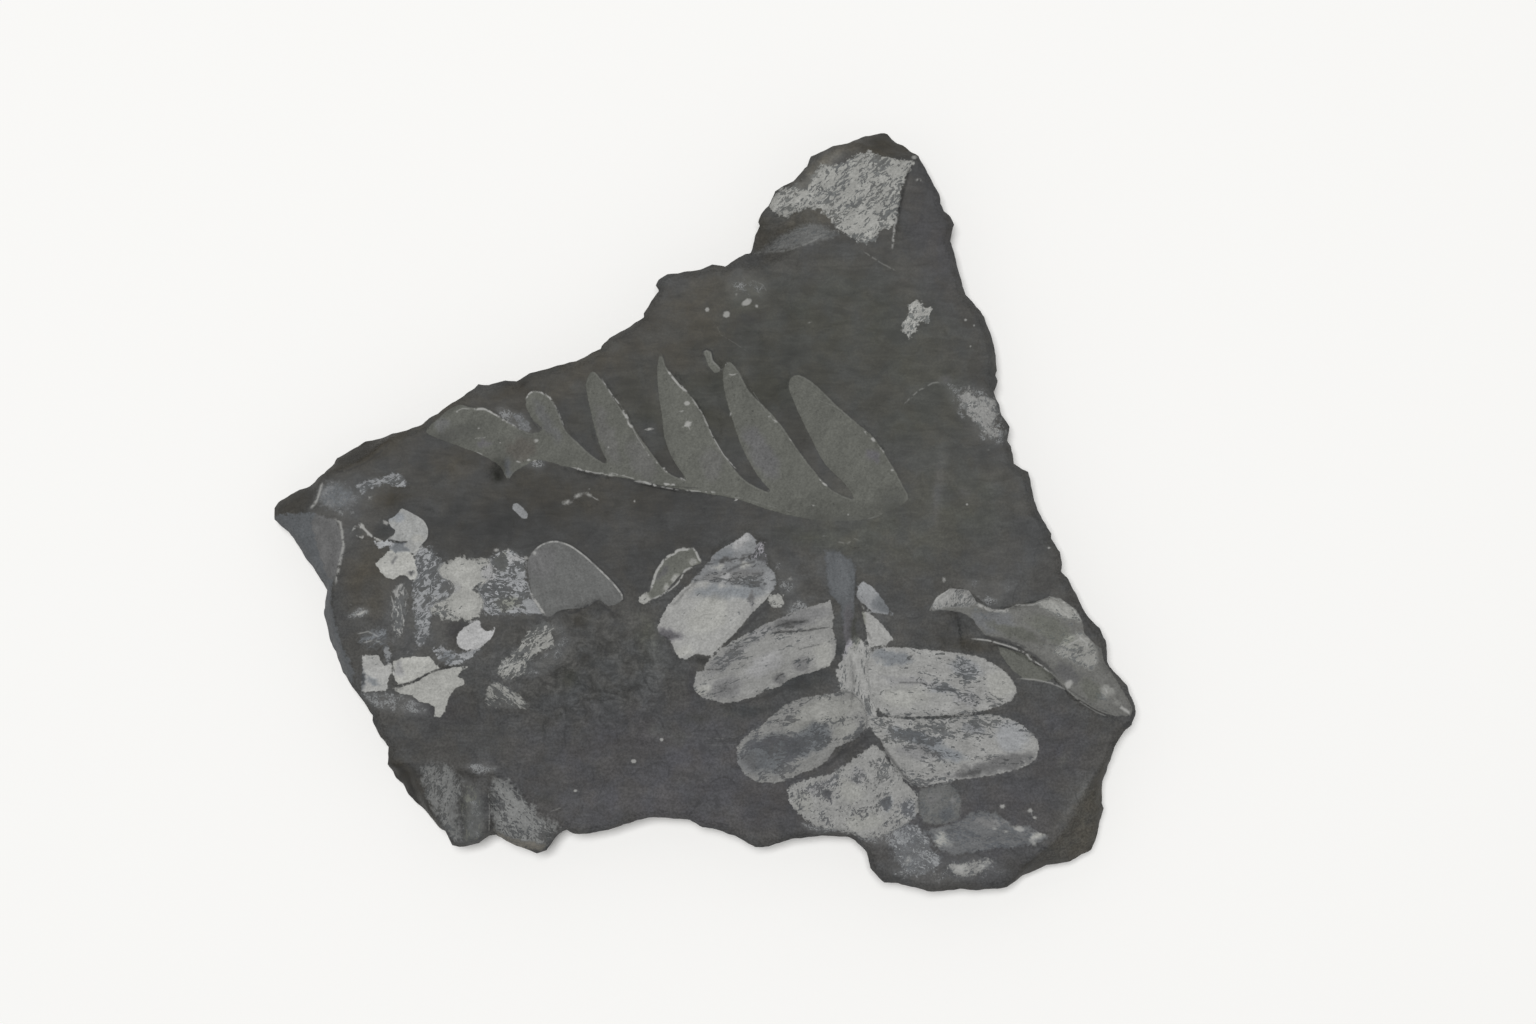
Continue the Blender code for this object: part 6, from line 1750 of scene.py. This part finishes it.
# dark cracks, and painted shadow in fine lines, beside rims and at the feet of flakes
CRACK_AND_SHADOW_COLOUR = (0.030, 0.030, 0.031, 1.0)
FOOT_SHADOW_STRENGTH = 0.34  # how dark the painted shadow at the feet of thin flakes is
CRUMPLED_MIDDLE = (-15.0, -22.0, 0.0)  # the crumpled field of shale south of the fan, in mm
CRUMPLED_SPREAD = (1 / 17.0, 1 / 10.5, 0.0)
GAPS_APART = (31.0, 17.0, 5.0)  # where the noise of the gaps is taken from
BUMP_STRENGTH = 0.6
BUMP_DEPTH = 0.00012  # in metres
SHALE_SPECULAR = 0.2
FLOOR_COLOUR = (0.935, 0.93, 0.915, 1.0)
FLOOR_ROUGHNESS = 0.9
FLOOR_SPECULAR = 0.1


def bare_shale(g, place, fine, torn):
    """Broad mottling, finer blotches, a fine grain that is coarser to the south, a crumpled field whose
    folds are painted light and shade, and painted shadow at the feet of thin flakes."""
    north_south = g.split(place)[1]
    coarse = g.ramp(north_south, -30.0, 10.0, 0.30, 0.17)
    bedding = g.noise(g.vector("MULTIPLY", place, (0.4, 1.3, 1.0)), 0.7, 4.0, 0.6, 0.8)
    tone = g.times(g.vary(g.noise(place, 0.11, 2.0), 0.08),
                   g.vary(g.noise(place, 0.4, 4.0, 0.6), 0.10),
                   g.vary(bedding, 0.12),
                   g.plus(1.0, g.times(g.ramp(fine, 0.3, 0.7, -1.0, 1.0), coarse)),
                   g.attribute("shale_tone_and_shade"))
    away = g.vector("MULTIPLY", g.vector("SUBTRACT", place, CRUMPLED_MIDDLE), CRUMPLED_SPREAD)
    crumpled = g.ramp(g.length(away), 0.45, 1.2, 1.0, 0.0)
    # painted light and shade of the crumpled field's folds
    painted_fold_shading = g.ramp(g.noise(place, 0.55, 4.0, 0.68, 1.1), 0.34, 0.66, -0.30, 0.26)
    tone = g.times(tone, g.plus(1.0, g.times(crumpled, painted_fold_shading)))
    hue = g.ramp(g.noise(place, 0.3, 3.0), 0.38, 0.62)
    shale = g.mix(hue, WARM_SHALE, COOL_SHALE)
    shale = g.vector("MULTIPLY", shale, g.attribute("shale_tint", "Vector"))
    shale = g.scaled(g.vector("MULTIPLY", shale, SHALE_ALBEDO), tone)
    # painted shadow: a thin dark band at the foot of each thin flake's edge
    flake = g.math("FRACT", g.plus(g.attribute("flake"), g.times(torn, 0.16)))
    flake_foot_shadow = g.times(g.near(flake, 0.1, 0.02, 0.08),
                   g.ramp(g.noise(place, 0.3, 2.0), 0.45, 0.62),
                   g.ramp(north_south, -18.0, 0.0, 1.0, 0.2))
    return g.mix(g.times(flake_foot_shadow, FOOT_SHADOW_STRENGTH), shale, CRACK_AND_SHADOW_COLOUR)


def veiled(g, place, ground):
    """Thin fibrous veils over the shale."""
    veil = g.attribute("veil")
    curls = g.from_middle(g.noise(place, 1.7, 4.0, 0.65, 0.9))
    dense = g.plus(veil, g.times(g.minus(g.noise(place, 0.6, 3.0, 0.6), 0.5), 1.6))
    curl = g.ramp(g.minus(g.ramp(dense, 0.1, 1.0, -0.02, 0.10), curls), -0.02, 0.03)
    curl = g.times(curl, g.ramp(veil, 0.05, 0.3))
    return g.mix(g.math("MAXIMUM", g.times(veil, 0.25), g.times(curl, 0.66)), ground, VEIL_COLOUR)


def leaf_film(g, place, margin, soft):
    """The leaves: how much of them is left at each place, and their colour.  Worn places follow the
    grain, with curly gaps and strands."""
    grain = g.attribute("leaf_grain", "Vector")
    cover, haze, fibre = g.split(g.attribute("leaf_wear", "Vector"))
    edge = g.ramp(g.math("DIVIDE", margin, g.math("MAXIMUM", soft, 0.05)), -0.6, 1.0)
    broad = g.minus(g.noise(grain, 0.32, 2.0, 0.55, 0.4), 0.5)
    density = g.plus(cover, g.times(broad, g.plus(g.times(fibre, 1.2), 0.4)))
    strands = g.from_middle(g.noise(grain, 1.15, 3.0, 0.62, 0.7))
    gaps = g.from_middle(g.noise(g.vector("ADD", grain, GAPS_APART), 1.15, 3.0, 0.62, 0.7))
    reach = g.times(g.minus(density, 0.455), 0.55)
    left = g.ramp(g.minus(reach, g.minus(strands, gaps)), -0.012, 0.024)
    worn = g.times(haze, g.ramp(g.noise(grain, 2.2, 4.0, 0.65), 0.35, 0.65, 0.6, 1.3))
    kept = g.math("ADD", worn, g.times(g.minus(1.0, worn), left), clamp=True)
    whole = g.times(edge, kept, g.minus(1.0, g.attribute("leaf_faded")))
    tonal = g.times(g.vary(g.noise(grain, 0.5, 3.0, 0.55), 0.09),
                    g.vary(g.noise(grain, 1.7, 3.0, 0.7), 0.09),
                    g.vary(g.noise(place, 3.6, 2.0, 0.6), 0.12))
    pit = g.ramp(g.noise(place, 2.4, 3.0, 0.6), 0.64, 0.69, 1.0, 0.7)
    film = g.scaled(g.attribute("leaf_tint", "Vector"), g.times(g.attribute("leaf_albedo"), tonal, pit))
    return whole, g.vector("MULTIPLY", film, g.mix(left, THIN_FILM, THICK_FILM))


def rims_highlights_and_edge_shadows(g, place, colour, depth, margin, rim_and_highlight_share):
    """Pale beaded rims inside the leaves' edges, partly their own pale edge and partly painted highlight
    on the side that faces rim_side, and a painted shadow line just outside them.
    """
    broken = g.ramp(g.noise(place, 1.3, 3.0, 0.6), 0.36, 0.56, 0.25, 1.0)
    # the rim: partly the leaf's own pale edge, partly painted highlight
    rim = g.times(g.near(depth, 0.12, 0.06, 0.17), rim_and_highlight_share, broken, 0.7)
    colour = g.mix(rim, colour, PALE_AND_HIGHLIGHT_COLOUR)
    # painted shadow: a dark line just outside the edges that carry a rim
    edge_shadow = g.times(g.near(margin, -0.12, 0.04, 0.16), g.ramp(rim_and_highlight_share, 0.0, 0.3), 0.55)
    edge_shadow = g.times(edge_shadow, g.ramp(g.noise(place, 0.4, 2.0), 0.4, 0.6, 0.4, 1.0))
    return g.mix(edge_shadow, colour, CRACK_AND_SHADOW_COLOUR)


def lines_and_spots(g, place, colour, torn):
    """Fine lines and small marks.  The pale lines are partly painted highlight on rims, and the dark lines
    partly painted shadow beside rims and under ledges.
    """
    pale = g.times(g.attribute("pale_line"), g.ramp(g.noise(place, 1.6, 3.0), 0.36, 0.52, 0.35, 1.0))
    colour = g.mix(g.ramp(pale, 0.1, 0.8, 0.0, 0.8), colour, PALE_AND_HIGHLIGHT_COLOUR)
    dark = g.times(g.attribute("dark_line"), g.ramp(g.noise(place, 1.3, 3.0), 0.34, 0.5, 0.4, 1.0))
    colour = g.mix(g.ramp(dark, 0.1, 0.8, 0.0, 0.65), colour, CRACK_AND_SHADOW_COLOUR)
    spot = g.plus(g.attribute("pale_spot"), g.times(torn, 0.5))
    return g.mix(g.ramp(spot, 0.22, 0.55, 0.0, 0.65), colour, PALE_AND_HIGHLIGHT_COLOUR)


def plate_material():
    g = Graph("fossil_shale")
    place = g.place()
    depth = g.attribute("leaf_depth")
    ragged, soft, rim_and_highlight_share = g.split(g.attribute("leaf_edge", "Vector"))
    fine = g.noise(place, 3.0, 3.0, 0.65)
    torn = g.minus(g.noise(place, 1.5, 4.0, 0.62), 0.5)
    margin = g.plus(depth, g.times(torn, ragged, 3.2))
    ground = veiled(g, place, bare_shale(g, place, fine, torn))
    whole, film = leaf_film(g, place, margin, soft)
    colour = g.mix(whole, ground, film)
    colour = rims_highlights_and_edge_shadows(g, place, colour, depth, margin, rim_and_highlight_share)
    colour = lines_and_spots(g, place, colour, torn)
    height = g.plus(g.times(fine, 0.7), g.times(g.noise(place, 9.0, 2.0), 0.3))
    height = g.plus(height, g.times(whole, 0.35))
    g.put(g.shader.inputs["Base Color"], colour)
    g.put(g.shader.inputs["Roughness"], g.ramp(fine, 0.3, 0.7, 0.6, 0.78))
    g.put(g.shader.inputs["Normal"], g.bump(height, BUMP_STRENGTH, BUMP_DEPTH))
    g.put(g.shader.inputs["Specular IOR Level"], SHALE_SPECULAR)
    return g.material


def floor_material():
    g = Graph("pale_floor")
    g.put(g.shader.inputs["Base Color"], FLOOR_COLOUR)
    g.put(g.shader.inputs["Roughness"], FLOOR_ROUGHNESS)
    g.put(g.shader.inputs["Specular IOR Level"], FLOOR_SPECULAR)
    return g.material


# ---------------------------------------------------------------- the studio

FLOOR_HALF = 1.5  # half the floor's length, in metres
LIGHT_PLACE = (-0.05, 0.10, 1.6)  # in metres
LIGHT_SIZE = 0.3
LIGHT_POWER = 20.4
WORLD_COLOUR = (1.0, 0.998, 0.99, 1.0)
WORLD_STRENGTH = 0.22
CAMERA_PLACE = (8.958, -0.108)  # plan position over the middle of the photograph, in mm
CAMERA_LENS = 100.0
SENSOR_WIDTH = 36.0
CAMERA_CLIP = (0.01, 10.0)
FRAME_WIDTH = 213.33  # width in mm that the photograph shows at the height of the bedding surface


def add_floor():
    mesh = bpy.data.meshes.new("floor")
    corners = [(x * FLOOR_HALF, y * FLOOR_HALF, 0.0) for x, y in ((-1, -1), (1, -1), (1, 1), (-1, 1))]
    mesh.from_pydata(corners, [], [(0, 1, 2, 3)])
    mesh.materials.append(floor_material())
    floor = bpy.data.objects.new("floor", mesh)
    bpy.context.scene.collection.objects.link(floor)


def add_softbox():
    """A square light that faces the middle of the plate."""
    data = bpy.data.lights.new("softbox", "AREA")
    data.shape = "SQUARE"
    data.size = LIGHT_SIZE
    data.energy = LIGHT_POWER
    light = bpy.data.objects.new("softbox", data)
    light.location = LIGHT_PLACE
    x, y, z = LIGHT_PLACE
    light.rotation_euler = (math.atan2(math.hypot(x, y), z), 0.0, math.atan2(x, -y))
    bpy.context.scene.collection.objects.link(light)


def add_world():
    world = bpy.data.worlds.new("soft_light")
    world.use_nodes = True
    background = world.node_tree.nodes["Background"]
    background.inputs["Color"].default_value = WORLD_COLOUR
    background.inputs["Strength"].default_value = WORLD_STRENGTH
    bpy.context.scene.world = world


def add_camera():
    """A camera that looks straight down on the middle of the photograph's frame."""
    data = bpy.data.cameras.new("camera")
    data.lens = CAMERA_LENS
    data.sensor_width = SENSOR_WIDTH
    data.clip_start, data.clip_end = CAMERA_CLIP
    camera = bpy.data.objects.new("camera", data)
    above = FRAME_WIDTH * CAMERA_LENS / SENSOR_WIDTH
    camera.location = (CAMERA_PLACE[0] * MM, CAMERA_PLACE[1] * MM, (THICKNESS + above) * MM)
    bpy.context.scene.collection.objects.link(camera)
    bpy.context.scene.camera = camera


def main():
    bpy.context.scene.view_settings.view_transform = "Standard"
    add_floor()
    add_world()
    add_softbox()
    add_camera()
    plate = build_plate(plate_material())
    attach(plate, "root")
    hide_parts("shale_plate")


main()
